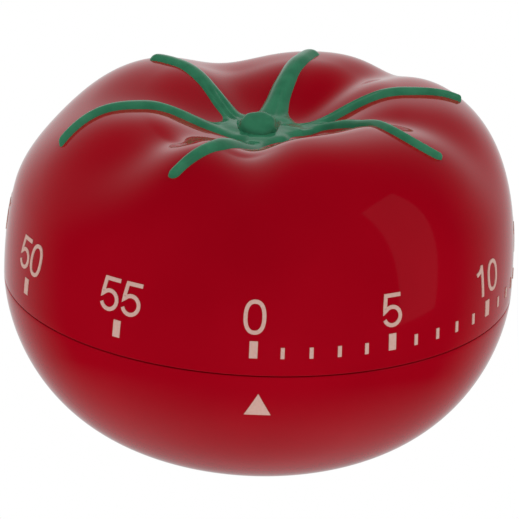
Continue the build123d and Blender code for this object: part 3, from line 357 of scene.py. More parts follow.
def rings_mesh(rings, close_start=False, close_end=False):
    """Points and faces of a skin through rings, with its ends closed by fans where asked."""
    rings = np.asarray(rings, float)
    ring_count, around_count = rings.shape[:2]
    points = list(rings.reshape(-1, 3))
    faces = ring_faces(ring_count, around_count)
    for wanted, ring in ((close_start, 0), (close_end, ring_count - 1)):
        if wanted:
            middle = len(points)
            points.append(rings[ring].mean(0))
            first = ring * around_count
            for step in range(around_count):
                faces.append((first + step, first + (step + 1) % around_count, middle))
    return points, faces


def joined(*meshes):
    """One list of points and faces from several."""
    points, faces = [], []
    for more_points, more_faces in meshes:
        shift = len(points)
        points.extend(more_points)
        faces.extend(tuple(corner + shift for corner in face) for face in more_faces)
    return points, faces


def plain_ring(radius, height, count=AROUND):
    """Level ring of points round the timer's axis."""
    azimuth = np.arange(count) * 360 / count
    x, y = around(radius, azimuth)
    return np.stack([x, y, np.full(count, float(height))], -1)


def add_node(tree, kind, inputs=None, **settings):
    """Adds a node, sets its properties, and sets or links its inputs."""
    node = tree.nodes.new(kind)
    for name, value in settings.items():
        setattr(node, name, value)
    for name, value in (inputs or {}).items():
        if isinstance(value, bpy.types.NodeSocket):
            tree.links.new(value, node.inputs[name])
        else:
            node.inputs[name].default_value = value
    return node


def new_material(name):
    """Empty node material with its surface shader and the object's own coordinates."""
    material = bpy.data.materials.new(name)
    material.use_nodes = True
    tree = material.node_tree
    tree.nodes.clear()
    shader = add_node(tree, "ShaderNodeBsdfPrincipled")
    add_node(tree, "ShaderNodeOutputMaterial", {"Surface": shader.outputs["BSDF"]})
    place = add_node(tree, "ShaderNodeTexCoord").outputs["Object"]
    return material, tree, shader, place


def per_metre(millimetres):
    """Pattern scale that repeats about every so many millimetres."""
    return 1 / (millimetres * MM)


def shade(colour, factor):
    """The same colour, lighter or darker."""
    return [min(channel * factor, 1) for channel in colour[:3]] + [1.0]


def patterned_material(name, pattern, ends, gloss, bumps, stretch=1):
    """Material whose colour, gloss and relief follow noise, with its shader.

    pattern is the size in millimetres and the detail of the noise behind the colour and the gloss,
    and ends are the places and colours at the two ends of the colour ramp. gloss is one roughness,
    or the lowest and the highest. Each bump has the size and detail of a noise, its strength and
    its depth in millimetres. stretch draws every pattern out along X."""
    material, tree, shader, place = new_material(name)
    if stretch != 1:
        drawn = add_node(tree, "ShaderNodeMapping", {"Vector": place, "Scale": (1 / stretch, 1.0, 1.0)})
        place = drawn.outputs["Vector"]
    noises = []
    for size, detail in [pattern, *(bump[:2] for bump in bumps)]:
        inputs = {"Vector": place, "Scale": per_metre(size), "Detail": detail}
        noises.append(add_node(tree, "ShaderNodeTexNoise", inputs).outputs["Fac"])
    tint = add_node(tree, "ShaderNodeValToRGB", {"Fac": noises[0]})
    for element, (position, colour) in zip(tint.color_ramp.elements, ends):
        element.position, element.color = position, colour
    tree.links.new(tint.outputs["Color"], shader.inputs["Base Color"])
    if isinstance(gloss, tuple):
        spread = {"From Min": 0.3, "From Max": 0.7, "To Min": gloss[0], "To Max": gloss[1]}
        varied = add_node(tree, "ShaderNodeMapRange", {"Value": noises[0], **spread})
        tree.links.new(varied.outputs["Result"], shader.inputs["Roughness"])
    else:
        shader.inputs["Roughness"].default_value = gloss
    below = {}
    for height, (_, _, strength, depth) in zip(noises[1:], bumps):
        inputs = {"Height": height, "Strength": strength, "Distance": depth * MM, **below}
        below = {"Normal": add_node(tree, "ShaderNodeBump", inputs).outputs["Normal"]}
    tree.links.new(below["Normal"], shader.inputs["Normal"])
    return material, shader


def moulded_abs_red(colour):
    """Glossy moulded ABS: an even deep red with a clear gloss. The polished mould leaves long low
    waves, which bend the lights' edges a little, and handling dulls the gloss in faint patches."""
    waves = (9.0, 1.0, 0.12, 0.12)
    # Real mould grain is finer than a pixel, so it is drawn as wide as it needs to show
    mould_grain = (0.8, 2.0, 0.05, 0.02)
    ends = (0.3, shade(colour, 0.95)), (0.7, shade(colour, 1.05))
    material, shader = patterned_material(
        "moulded_abs_red", (16.0, 2.0), ends, (0.05, 0.08), [waves, mould_grain]
    )
    shader.inputs["IOR"].default_value = 1.54
    return material


def sprayed_enamel_green(colour):
    """Sprayed and wiped enamel on the moulded relief: a cool mid green with a soft gloss, mottled
    where the coat is thin, and a little rough from the moulded skin of the leaf below it."""
    leaf_skin = (0.7, 3.0, 0.25, 0.05)
    ends = (0.35, shade(colour, 0.86)), (0.68, shade(colour, 1.12))
    material, shader = patterned_material("sprayed_enamel_green", (2.4, 3.0), ends, (0.12, 0.24), [leaf_skin])
    shader.inputs["IOR"].default_value = 1.5
    return material


def pad_printed_ink(colour):
    """Pad-printed pale ink: a satin film that is thin enough for the red to warm it, with the fine
    uneven cover that the pad leaves."""
    cover = (0.3, 2.0)
    thin = [colour[0] * 0.96, colour[1] * 0.86, colour[2] * 0.86, 1.0]
    ends = (0.3, thin), (0.6, colour[:])
    material, shader = patterned_material("pad_printed_ink", cover, ends, 0.45, [(*cover, 0.3, 0.02)])
    shader.inputs["IOR"].default_value = 1.48
    return material


def worked_metal(name, hex_colour, roughness, grain_size, stretch, bump_depth):
    """Bare or plated metal with the lines of its last operation: stretch draws them out along X."""
    colour, grain = linear(hex_colour), (grain_size, 3.0)
    ends = (0.3, shade(colour, 0.85)), (0.7, shade(colour, 1.08))
    gloss = roughness * 0.8, roughness * 1.25
    material, shader = patterned_material(name, grain, ends, gloss, [(*grain, 0.4, bump_depth)], stretch)
    shader.inputs["Metallic"].default_value = 1.0
    return material


class TIMER_OT_upper_shell(bpy.types.Operator):
    """Make the lobed red dome: knob, dial and cover in one moulding"""

    bl_idname = "timer.upper_shell"
    bl_label = "Upper Shell"

    def execute(self, context):
        shell = context.scene.timer_shell
        azimuth = np.arange(AROUND) * 360 / AROUND
        lip = shell.parting_height / MM + shell.parting_gap / MM / 2
        edge = shell.edge_radius / MM
        wall = shell.wall / MM
        rings = []
        for corner in np.linspace(0, 90, 6):
            ring = skin_point(shell, 0, azimuth, -edge * (1 - math.sin(math.radians(corner))))
            ring[:, 2] = lip + edge * (1 - math.cos(math.radians(corner)))
            rings.append(ring)
        for share in np.concatenate([np.linspace(0.04, 1, 64), np.linspace(1, 2, 44)[1:]]):
            rings.append(skin_point(shell, share, azimuth))
        outer = rings[::-1]
        inner = [skin_point(shell, share, azimuth, -wall) for share in np.linspace(0, 2, 48)]
        # Hub tube: down outside it, round its end and up the bore with its two flats
        tube_radius, tube_low, bore_top, bore_radius, half_flats = 4.4, 32.5, 40.8, 2.51, 2.01
        tube_high = inner[-1][0, 2]
        bore = np.minimum(bore_radius, half_flats / np.maximum(np.abs(np.sin(np.radians(azimuth))), 0.01))
        for height in np.linspace(tube_high, tube_low, 5):
            inner.append(plain_ring(tube_radius, height))
        for height in (tube_low, bore_top):
            x, y = around(bore, azimuth)
            inner.append(np.stack([x, y, np.full(AROUND, height)], -1))
        body = rings_mesh(outer + inner, close_start=True, close_end=True)
        plastic = moulded_abs_red(shell.colour)
        add_piece("tomato_dome", "dial", ["upper_shell"], "red_plastic", *body, plastic)
        return {"FINISHED"}


def smooth_union(one, other, blend):
    """The greater of two fields, with a soft web of the given width between them."""
    near = np.maximum(blend - np.abs(one - other), 0) / blend
    return np.maximum(one, other) + near * near * blend / 4


def calyx_lift(shell, calyx, radius, azimuth):
    """Height of the calyx over the skin at plan places. Below 0 it has dived under the skin."""
    widest, width = shell.widest_radius / MM, calyx.sepal_width / MM
    turn = np.radians(azimuth)
    wobble = 0.35 * np.sin(3 * turn + 0.6) + 0.22 * np.sin(7 * turn + 2.0)
    behind = np.radians(azimuth - HUB_AZIMUTH)
    offset = calyx.hub_offset / MM
    hub_distance = np.sqrt(radius**2 + offset**2 - 2 * radius * offset * np.cos(behind))
    field = calyx.hub_radius / MM + wobble - hub_distance
    crown = np.full_like(radius, 1.5)
    groove = np.zeros_like(radius)
    far_out = -9.0
    for sepal, (hub, half_way, tip, tip_share, base_width, middle_width, tip_width) in enumerate(SEPALS):
        start, end = SEPAL_START, tip_share * widest
        along = (radius - start) / (end - start)
        bend = np.clip(along, 0, 1)
        middle = hub * (2 * bend - 1) * (bend - 1) + half_way * 4 * bend * (1 - bend)
        middle = middle + tip * bend * (2 * bend - 1)
        away = turned_away(azimuth, middle)
        side = radius * np.sin(np.radians(np.clip(away, -90, 90)))
        share = base_width + (middle_width - base_width) * ease(2 * along)
        share = share + (tip_width - middle_width) * ease(2 * along - 1)
        ripple = 1 + 0.05 * np.sin(9 * along + 2 * sepal) + 0.03 * np.sin(23 * along + sepal)
        half = width * share * ripple / 2
        past_tip = np.maximum(radius - (end - half), 0)
        inside = np.where(np.abs(away) > 90, far_out, half - np.hypot(side, past_tip))
        blend = 0.3 + 1.8 * (1 - ease((radius - 6) / 7))
        crown = np.where(inside > field, np.minimum(half, 1.6), crown)
        field = smooth_union(field, inside, blend)
        for marked, place, begin, finish, depth in CREASES:
            if marked == sepal:
                run = ease((along - begin) / 0.08) * (1 - ease((along - finish) / 0.1))
                groove += depth * run * np.exp(-(((side / half - place) / 0.17) ** 2))
    full = calyx.relief / MM * (0.62 + 0.38 * ease((radius - 4) / 8))
    edge = np.clip(1 - field / crown, 0, 1.6)
    folds = 0.10 * np.sin(5 * turn + 1.1 * radius) * np.exp(-(((radius - 4.6) / 1.4) ** 2))
    return full * (1 - edge**2.6) - groove + folds


class TIMER_OT_calyx(bpy.types.Operator):
    """Make the green star of six sepals and the stub of the stem on the dome"""

    bl_idname = "timer.calyx"
    bl_label = "Calyx"

    def execute(self, context):
        shell, calyx = context.scene.timer_shell, context.scene.timer_calyx
        steps, stem_steps = 720, 72
        # The sheet dives this far under the skin, and is cut off where it is below the second depth
        dive, cut_depth = 0.5, 0.35
        azimuth = np.arange(steps) * 360 / steps
        floor = (shell.parting_height + shell.crest_rise - shell.dimple_depth) / MM
        shares = np.concatenate([np.linspace(0.42, 1, 110), np.linspace(1, 2, 90)[1:]])
        flat_radii = np.linspace(shell.dimple_radius / MM, 1.5, 24)[1:]
        rings, lifts = [], []
        for share in shares:
            ground = skin_point(shell, share, azimuth)
            lift = calyx_lift(shell, calyx, np.hypot(ground[:, 0], ground[:, 1]), azimuth)
            rings.append(skin_point(shell, share, azimuth, np.maximum(lift, -dive)))
            lifts.append(lift)
        for radius in flat_radii:
            lift = calyx_lift(shell, calyx, np.full(steps, radius), azimuth)
            rings.append(plain_ring(radius, floor, steps) + np.outer(lift, (0, 0, 1)))
            lifts.append(lift)
        lifts = np.concatenate(lifts)
        faces = [face for face in ring_faces(len(rings), steps) if max(lifts[list(face)]) > -cut_depth]
        used = sorted({corner for face in faces for corner in face})
        renumber = {old: new for new, old in enumerate(used)}
        sheet_points = list(np.concatenate(rings)[used])
        sheet = (sheet_points, [tuple(renumber[corner] for corner in face) for face in faces])
        # Stem profile: share of the top's radius, and height from the middle of the top
        profile = [
            (1.75, -2.7), (1.42, -2.25), (1.22, -1.75), (1.10, -1.25), (1.04, -0.85), (1.0, -0.55),
            (0.97, -0.35), (0.91, -0.16), (0.81, -0.02), (0.66, 0.06), (0.4, 0.1), (0.15, 0.11),
        ]
        stem_rings = []
        around_stem = np.arange(stem_steps) * 360 / stem_steps
        turn = np.radians(around_stem)
        lean = Matrix.Rotation(calyx.stem_lean, 3, "X")
        for radius_share, height in profile:
            uneven = 1 + 0.035 * np.sin(3 * turn + 0.8) + 0.02 * np.sin(7 * turn + height)
            x, y = around(calyx.stem_radius / MM * radius_share * uneven, around_stem)
            ring = np.stack([x, y, np.full(stem_steps, height)], -1) @ np.array(lean.transposed())
            stem_rings.append(ring + (*STEM_TOP, floor + calyx.stem_rise / MM))
        stem = rings_mesh(stem_rings, close_end=True)
        paint = sprayed_enamel_green(calyx.colour)
        add_piece("calyx_star", "dial", ["calyx"], "green_paint", *joined(sheet, stem), paint, sharp_angle=60)
        return {"FINISHED"}


def arc_path(centre, radius, start, end, steps=18):
    """Points along an arc, from a start angle to an end angle in degrees."""
    turn = np.radians(np.linspace(start, end, steps))
    return [(centre[0] + radius * math.cos(a), centre[1] + radius * math.sin(a)) for a in turn]


def figure_paths(figure, width, height, stroke):
    """Middle lines of one plain upright figure, as (points, closed), from its lower left corner."""
    half = stroke / 2
    left, right, low, high = half, width - half, half, height - half
    wide, tall, middle = right - left, high - low, (left + right) / 2
    if figure == "0":
        turn = np.radians(np.arange(0, 360, 7.5))
        squareness = 2 / 2.35
        flat, upright = np.cos(turn), np.sin(turn)
        across = np.sign(flat) * np.abs(flat) ** squareness * wide / 2
        up = np.sign(upright) * np.abs(upright) ** squareness * tall / 2
        return [(list(zip(middle + across, (low + high) / 2 + up)), True)]
    if figure == "1":
        post = left + wide * 0.65
        return [
            ([(post, 0), (post, height)], False),
            ([(left + half, low + tall * 0.78), (left + wide * 0.4, low + tall * 0.84), (post, high)], False),
        ]
    if figure == "2":
        bend = arc_path((middle, high - wide / 2), wide / 2, 168, -38)
        return [(bend + [(left, low), (width, low)], False)]
    if figure == "3":
        upper = tall * 0.23
        lower = tall / 2 - upper
        return [
            (arc_path((middle, high - upper), upper, 158, -92), False),
            (arc_path((middle, low + lower), lower, 92, -162), False),
        ]
    if figure == "4":
        bar, post = low + tall * 0.28, left + wide * 0.74
        return [([(post, 0), (post, height)], False), ([(post, high), (left, bar), (width, bar)], False)]
    lean, shoulder = left + wide * 0.16, (left + half * 0.4, low + tall * 0.47)
    bowl = arc_path((middle, low + wide / 2), wide / 2, 138, -160)
    return [([(width - half * 0.4, high), (lean, high), shoulder] + bowl, False)]


def divided(path, closed, longest=0.5):
    """The same path with its long runs divided, so that it can bend round the skin."""
    points = []
    ends = path[1:] + ([path[0]] if closed else [])
    for start, end in zip(path, ends):
        steps = max(1, math.ceil(math.dist(start, end) / longest))
        for step in range(steps):
            share = step / steps
            points.append(tuple(a + (b - a) * share for a, b in zip(start, end)))
    return points if closed else points + [path[-1]]


def stroke_patch(path, width, closed):
    """Flat points and quads of a stroke of even width along a path, with mitred corners."""
    path = np.array(divided(path, closed))
    count = len(path)
    ahead = np.roll(path, -1, 0) - path
    behind = path - np.roll(path, 1, 0)
    if not closed:
        ahead[-1], behind[0] = behind[-1], ahead[0]
    ahead /= np.linalg.norm(ahead, axis=1)[:, None]
    behind /= np.linalg.norm(behind, axis=1)[:, None]
    middle = ahead + behind
    middle /= np.linalg.norm(middle, axis=1)[:, None]
    across = np.stack([-middle[:, 1], middle[:, 0]], 1)
    lean = np.maximum((middle * ahead).sum(1), 0.5)
    reach = across / lean[:, None] * width / 2
    points = np.concatenate([path + reach, path - reach])
    steps = [(step, (step + 1) % count) for step in range(count if closed else count - 1)]
    return points, [(a, count + a, count + b, b) for a, b in steps]


def grid_patch(low_width, high_width, low, high, columns, rows):
    """Flat points and quads of an upright tick or pointer."""
    points = []
    for row in range(rows + 1):
        share = row / rows
        half = (low_width + (high_width - low_width) * share) / 2
        for column in range(columns + 1):
            points.append((half * (2 * column / columns - 1), low + (high - low) * share))
    faces = []
    for row in range(rows):
        for column in range(columns):
            corner = row * (columns + 1) + column
            faces.append((corner, corner + 1, corner + columns + 2, corner + columns + 1))
    return np.array(points), faces


def raised_print(patches, wrap, thickness):
    """Ink patches wrapped on a skin: a top at the ink's thickness and side walls down into it."""
    root = 0.05
    meshes = []
    for flat, quads in patches:
        top, low = wrap(flat, thickness), wrap(flat, -root)
        count = len(flat)
        sides = {}
        for quad in quads:
            for place, corner in enumerate(quad):
                edge = (corner, quad[(place + 1) % len(quad)])
                if edge[::-1] in sides:
                    del sides[edge[::-1]]
                else:
                    sides[edge] = True
        walls = [(a, a + count, b + count, b) for a, b in sides]
        meshes.append((list(top) + list(low), list(quads) + walls))
    return joined(*meshes)


def dome_radius(shell, height, azimuth):
    """Radius of the dome at a height below the furrows, in millimetres."""
    widest, _, top, _ = dome_levels(shell, azimuth)
    power = dome_power(azimuth)
    rise = np.arcsin(((height - widest) / (top - widest)) ** (power / 2))
    out = np.cos(rise) ** (2 / power)
    crest_radius = lobe_radius(shell, azimuth)
    return crest_radius + (shell.widest_radius / MM - crest_radius) * out


def wrap_on(shell, radius_at, middle):
    """Function that wraps flat points (across, height) round a middle azimuth on a skin, whose
    radius is given by a function of height and azimuth."""
    step = 0.05

    def wrap(flat, lift):
        across, height = flat[:, 0], flat[:, 1]
        radius = np.full(len(flat), shell.widest_radius / MM)
        # The azimuth depends on the radius and the radius on the azimuth: three rounds settle them
        for _ in range(3):
            azimuth = middle + np.degrees(np.arcsin(across / radius))
            radius = radius_at(shell, height, azimuth)
        higher, lower = radius_at(shell, height + step, azimuth), radius_at(shell, height - step, azimuth)
        slope = (higher - lower) / (2 * step)
        length = np.hypot(1, slope)
        x, y = around(radius + lift / length, azimuth)
        return np.stack([x, y, height - lift * slope / length], -1)

    return wrap


def wrap_on_dome(shell, minute):
    """Wrap on the dome at a minute's place."""
    return wrap_on(shell, dome_radius, 360 * minute / MINUTES + PRINT_AZIMUTH)


def add_print(name, body, node, mesh, ink):
    """Adds a printed piece, which shares one ink with the other prints."""
    material = bpy.data.materials.get("pad_printed_ink") or pad_printed_ink(ink.colour)
    add_piece(name, body, [node], "white_print", *mesh, material)


class TIMER_OT_numerals(bpy.types.Operator):
    """Print the figures 0 to 55 round the dome"""

    bl_idname = "timer.numerals"
    bl_label = "Dial Numerals"

    def execute(self, context):
        shell, ink = context.scene.timer_shell, context.scene.timer_print
        width, height, stroke = ink.numeral_width / MM, ink.numeral_height / MM, ink.stroke / MM
        spacing = ink.numeral_spacing / MM
        base = (shell.parting_height + ink.numeral_rise) / MM
        meshes = []
        for minute in range(0, MINUTES, MINUTES_PER_NUMERAL):
            text = str(minute)
            total = len(text) * width + (len(text) - 1) * spacing
            patches = []
            for place, figure in enumerate(text):
                left = place * (width + spacing) - total / 2
                for path, closed in figure_paths(figure, width, height, stroke):
                    flat, quads = stroke_patch(path, stroke, closed)
                    patches.append((flat + (left, base), quads))
            meshes.append(raised_print(patches, wrap_on_dome(shell, minute), ink.thickness / MM))
        add_print("printed_numerals", "dial", "dial_numerals", joined(*meshes), ink)
        return {"FINISHED"}


class TIMER_OT_ticks(bpy.types.Operator):
    """Print the wide ticks at the figures and the fine ticks of the first quarter"""

    bl_idname = "timer.ticks"
    bl_label = "Minute Ticks"

    def execute(self, context):
        shell, ink = context.scene.timer_shell, context.scene.timer_print
        low = (shell.parting_height + ink.tick_rise) / MM
        meshes = []
        for minute in range(MINUTES):
            major = minute % MINUTES_PER_NUMERAL == 0
            if not major and minute >= FINE_TICK_MINUTES:
                continue
            width = (ink.major_width if major else ink.minor_width) / MM
            height = (ink.major_height if major else ink.minor_height) / MM
            patch = grid_patch(width, width, low, low + height, 3, 4)
            meshes.append(raised_print([patch], wrap_on_dome(shell, minute), ink.thickness / MM))
        add_print("printed_ticks", "dial", "minute_ticks", joined(*meshes), ink)
        return {"FINISHED"}


class TIMER_OT_pointer(bpy.types.Operator):
    """Print the pointer on the bowl below the 0"""

    bl_idname = "timer.pointer"
    bl_label = "Pointer"

    def execute(self, context):
        shell, ink = context.scene.timer_shell, context.scene.timer_print
        apex = (shell.parting_height - ink.pointer_drop) / MM
        base = apex - ink.pointer_height / MM
        apex_width = 0.02
        wrap = wrap_on(shell, lambda skin, height, azimuth: bowl_radius(skin, height), 0)
        patch = grid_patch(ink.pointer_width / MM, apex_width, base, apex, 6, 7)
        mesh = raised_print([patch], wrap, ink.thickness / MM)
        add_print("printed_pointer", "base", "index_pointer", mesh, ink)
        return {"FINISHED"}


class TIMER_OT_lower_shell(bpy.types.Operator):
    """Make the red bowl with its foot ring, guide rim, screw posts and sound slots"""

    bl_idname = "timer.lower_shell"
    bl_label = "Lower Shell"

    def execute(self, context):
        shell, bowl = context.scene.timer_shell, context.scene.timer_bowl
        edge, wall = shell.edge_radius / MM, shell.wall / MM
        lip = (shell.parting_height - shell.parting_gap / 2) / MM
        foot, foot_inside = bowl.foot_radius / MM, (bowl.foot_radius - bowl.foot_width) / MM
        recess, sole = bowl.foot_recess / MM, bowl.sole / MM
        rim_outer = (shell.widest_radius - shell.wall - bowl.rim_gap) / MM
        rim_inner = rim_outer - bowl.rim_wall / MM
        rim_top = (shell.parting_height + bowl.rim_rise) / MM
        inner_lip = lip - bowl.rim_wall / MM
        foot_top = float(bowl_height(shell, foot))
        round_foot = 0.4
        profile = [(foot_inside, recess), (foot_inside, round_foot)]
        for side, start, corners in ((foot_inside, round_foot, (0, 90)), (foot, -round_foot, (90, 0))):
            for corner in np.radians(np.linspace(*corners, 5)):
                radius = side + start * (1 - math.cos(corner))
                profile.append((radius, round_foot * (1 - math.sin(corner))))
        profile.append((foot, foot_top))
        for share in np.linspace(0, 1, 56)[1:]:
            height = (lip - edge) - (lip - edge - foot_top) * math.cos(math.pi / 2 * share)
            profile.append((float(bowl_radius(shell, height)), height))
        lip_radius = float(bowl_radius(shell, lip - edge))
        for corner in np.radians(np.linspace(0, 90, 6))[1:]:
            profile.append((lip_radius - edge * (1 - math.cos(corner)), lip - edge * (1 - math.sin(corner))))
        profile += [(rim_outer, lip), (rim_outer, rim_top), (rim_inner, rim_top), (rim_inner, inner_lip)]
        for share in np.linspace(0, 1, 30):
            height = inner_lip - (inner_lip - sole * 1.125) * math.sin(math.pi / 2 * share)
            profile.append((float(bowl_radius(shell, height, wall, sole)), height))
        profile.append((profile[-1][0], sole))
        rings = [plain_ring(radius, height) for radius, height in profile]
        body = rings_mesh(rings, close_start=True, close_end=True)
        plastic = bpy.data.materials["moulded_abs_red"]
        piece = add_piece("tomato_bowl", "base", ["lower_shell"], "red_plastic", *body, plastic)
        # Sound slots are cut by a tool body that is thrown away afterwards
        cutters = []
        half_length, half_width = bowl.slot_length / MM / 2, bowl.slot_width / MM / 2
        for slot in range(6):
            cosine, sine = math.cos(math.radians(60 * slot)), math.sin(math.radians(60 * slot))
            outline = []
            for end, start in ((1, -90), (-1, 90)):
                for angle in np.radians(np.linspace(start, start + 180, 9)):
                    x = bowl.slot_circle / MM + end * (half_length - half_width)
                    x += half_width * math.cos(angle)
                    y = half_width * math.sin(angle)
                    outline.append((x * cosine - y * sine, x * sine + y * cosine))
            ends = [[(x, y, z) for x, y in outline] for z in (-1.0, sole + 1.0)]
            cutters.append(rings_mesh(ends, close_start=True, close_end=True))
        cut_away(piece, joined(*cutters), "DIFFERENCE")
        posts = []
        post, bore, height = bowl.post_radius / MM, bowl.post_bore / MM, bowl.post_height / MM
        bevel, bore_low = 0.2, 8.1
        for number in range(3):
            turn = math.radians(30 + 120 * number)
            middle = np.array([math.cos(turn), math.sin(turn), 0]) * bowl.post_circle / MM
            post_profile = [(post, height - bevel), (post - bevel, height), (bore, height), (bore, bore_low)]
            rings = [plain_ring(r, z, 48) + middle for r, z in post_profile]
            foot_ring = rings[0].copy()
            foot_ring[:, 2] = bowl_height(shell, np.hypot(foot_ring[:, 0], foot_ring[:, 1])) + wall / 2
            posts.append(rings_mesh([foot_ring] + rings, close_start=True, close_end=True))
        cut_away(piece, joined(*posts), "UNION")
        return {"FINISHED"}


def cut_away(piece, tool_mesh, operation):
    """Cuts a tool's solid from a piece, or joins it to the piece, and removes the tool."""
    mesh = solid_mesh("tool", *tool_mesh)
    tool = bpy.data.objects.new("tool", mesh)
    bpy.context.scene.collection.objects.link(tool)
    modifier = piece.modifiers.new("tool", "BOOLEAN")
    modifier.operation, modifier.object, modifier.solver = operation, tool, "EXACT"
    bpy.context.view_layer.update()
    result = bpy.data.meshes.new_from_object(piece.evaluated_get(bpy.context.evaluated_depsgraph_get()))
    if len(result.polygons) < len(piece.data.polygons) / 2:
        raise RuntimeError(f"the {operation.lower()} on {piece.name} left too little of it")
    piece.modifiers.remove(modifier)
    old = piece.data
    piece.data = result
    result.name = piece.name
    bpy.data.meshes.remove(old)
    bpy.data.objects.remove(tool)
    bpy.data.meshes.remove(mesh)


class TIMER_OT_movement(bpy.types.Operator):
    """Give the clockwork, the bell and the hammer their metals"""

    bl_idname = "timer.movement"
    bl_label = "Movement Metals"

    def execute(self, context):
        # Blanked and brushed brass: warm yellow with straight fine lines
        brass = worked_metal("brushed_brass", "#D8B25C", 0.28, 0.25, 12, 0.01)
        # Turned steel: bright grey with short tool lines
        steel = worked_metal("turned_steel", "#B9BBBD", 0.24, 0.2, 4, 0.01)
        # Zinc-plated sheet: pale blue grey with a cloudy crystal pattern
        plate = worked_metal("zinc_plated_sheet", "#C3C9CE", 0.36, 1.8, 1, 0.015)
        # Tempered spring steel: dark blue grey from the heat
        spring = worked_metal("tempered_spring_steel", "#5B6478", 0.3, 0.4, 8, 0.008)
        # Nickel-plated pressed steel: warm bright silver, nearly a mirror
        bell = worked_metal("nickel_plated_bell_steel", "#CFC9BE", 0.14, 3.0, 1, 0.01)
        finishes = {
            brass: [
                "plate_bushes", "pillar_nuts", "main_wheel", "second_wheel", "third_wheel", "escape_wheel",
                "strike_cam", "balance_wheel", "hammer_head",
            ],
            steel: [
                "plate_pillars", "movement_screws", "spring_post", "stop_pin", "bell_post", "bell_screw",
                "main_arbor", "second_arbor", "third_arbor", "escape_arbor", "anchor_arbor", "pallet_pins",
                "pallet_anchor", "hammer_shaft",
            ],
            plate: ["lower_plate", "upper_plate", "hammer_arm", "follower_arm"],
            spring: ["mainspring", "hammer_spring", "clutch_spring", "clutch_clip"],
            bell: ["bell"],
        }
        for material, nodes in finishes.items():
            for name in nodes:
                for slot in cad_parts[name].material_slots:
                    slot.material = material
        return {"FINISHED"}


def soft_light(name, place, aim, width, height, radiance):
    """Softbox with an even face of the given radiance, aimed at a point."""
    data = bpy.data.lights.new(name, "AREA")
    data.shape = "RECTANGLE"
    data.size, data.size_y = width, height
    data.energy = radiance * math.pi * width * height
    lamp = bpy.data.objects.new(name, data)
    lamp.location = place
    lamp.rotation_euler = (Vector(aim) - Vector(place)).to_track_quat("-Z", "Y").to_euler()
    lamp.visible_camera = False
    bpy.context.scene.collection.objects.link(lamp)


def light_tent(scene):
    """Light tent of white cloth, open towards the camera: even light on every side for the colours,
    and in the gloss a white back that fades through the sides to a dark front."""
    world = bpy.data.worlds.new("light_tent")
    scene.world = world
    world.use_nodes = True
    world.cycles.sampling_method = "NONE"
    tree = world.node_tree
    tree.nodes.clear()
    direction = add_node(tree, "ShaderNodeTexCoord").outputs["Generated"]
    axes = add_node(tree, "ShaderNodeSeparateXYZ", {"Vector": direction})
    ray = add_node(tree, "ShaderNodeLightPath")

    # The back wall brightens towards straight behind, and fades upwards
    ahead = {0: axes.outputs["Y"], 1: 0.0}
    behind = add_node(tree, "ShaderNodeMath", ahead, operation="MAXIMUM").outputs["Value"]
    back = add_node(tree, "ShaderNodeMath", {0: behind, 1: 1.75}, operation="POWER").outputs["Value"]
    fade = {"From Min": 0.24, "From Max": 1.0, "To Min": 0.82, "To Max": 0.03}
    high = add_node(tree, "ShaderNodeMapRange", {"Value": axes.outputs["Z"], **fade}).outputs["Result"]
    walls = add_node(tree, "ShaderNodeMath", {0: back, 1: high}, operation="MULTIPLY").outputs["Value"]
    # Below the table's edge the light comes up from a sheet that is brighter at the back
    slope = {0: axes.outputs["Y"], 1: 0.35, 2: 0.3}
    below = add_node(tree, "ShaderNodeMath", slope, operation="MULTIPLY_ADD").outputs["Value"]
    sink = {"Value": axes.outputs["Z"], "From Min": -0.6, "From Max": -0.92}
    down = add_node(tree, "ShaderNodeMapRange", sink).outputs["Result"]
    step = add_node(tree, "ShaderNodeMath", {0: below, 1: walls}, operation="SUBTRACT").outputs["Value"]
    mixed = {0: step, 1: down, 2: walls}
    gloss = add_node(tree, "ShaderNodeMath", mixed, operation="MULTIPLY_ADD").outputs["Value"]
    # Only gloss sees that picture: matt surfaces get even light, and the camera plain white
    glossy = {0: gloss, 1: ray.outputs["Is Glossy Ray"]}
    light = add_node(tree, "ShaderNodeMath", glossy, operation="MULTIPLY").outputs["Value"]
    diffuse = {0: ray.outputs["Is Diffuse Ray"], 1: 0.77, 2: light}
    light = add_node(tree, "ShaderNodeMath", diffuse, operation="MULTIPLY_ADD").outputs["Value"]
    seen = {0: ray.outputs["Is Camera Ray"], 1: light}
    light = add_node(tree, "ShaderNodeMath", seen, operation="ADD").outputs["Value"]
    backing = add_node(tree, "ShaderNodeBackground", {"Color": (1, 1, 1, 1), "Strength": light})
    add_node(tree, "ShaderNodeOutputWorld", {"Surface": backing.outputs["Background"]})


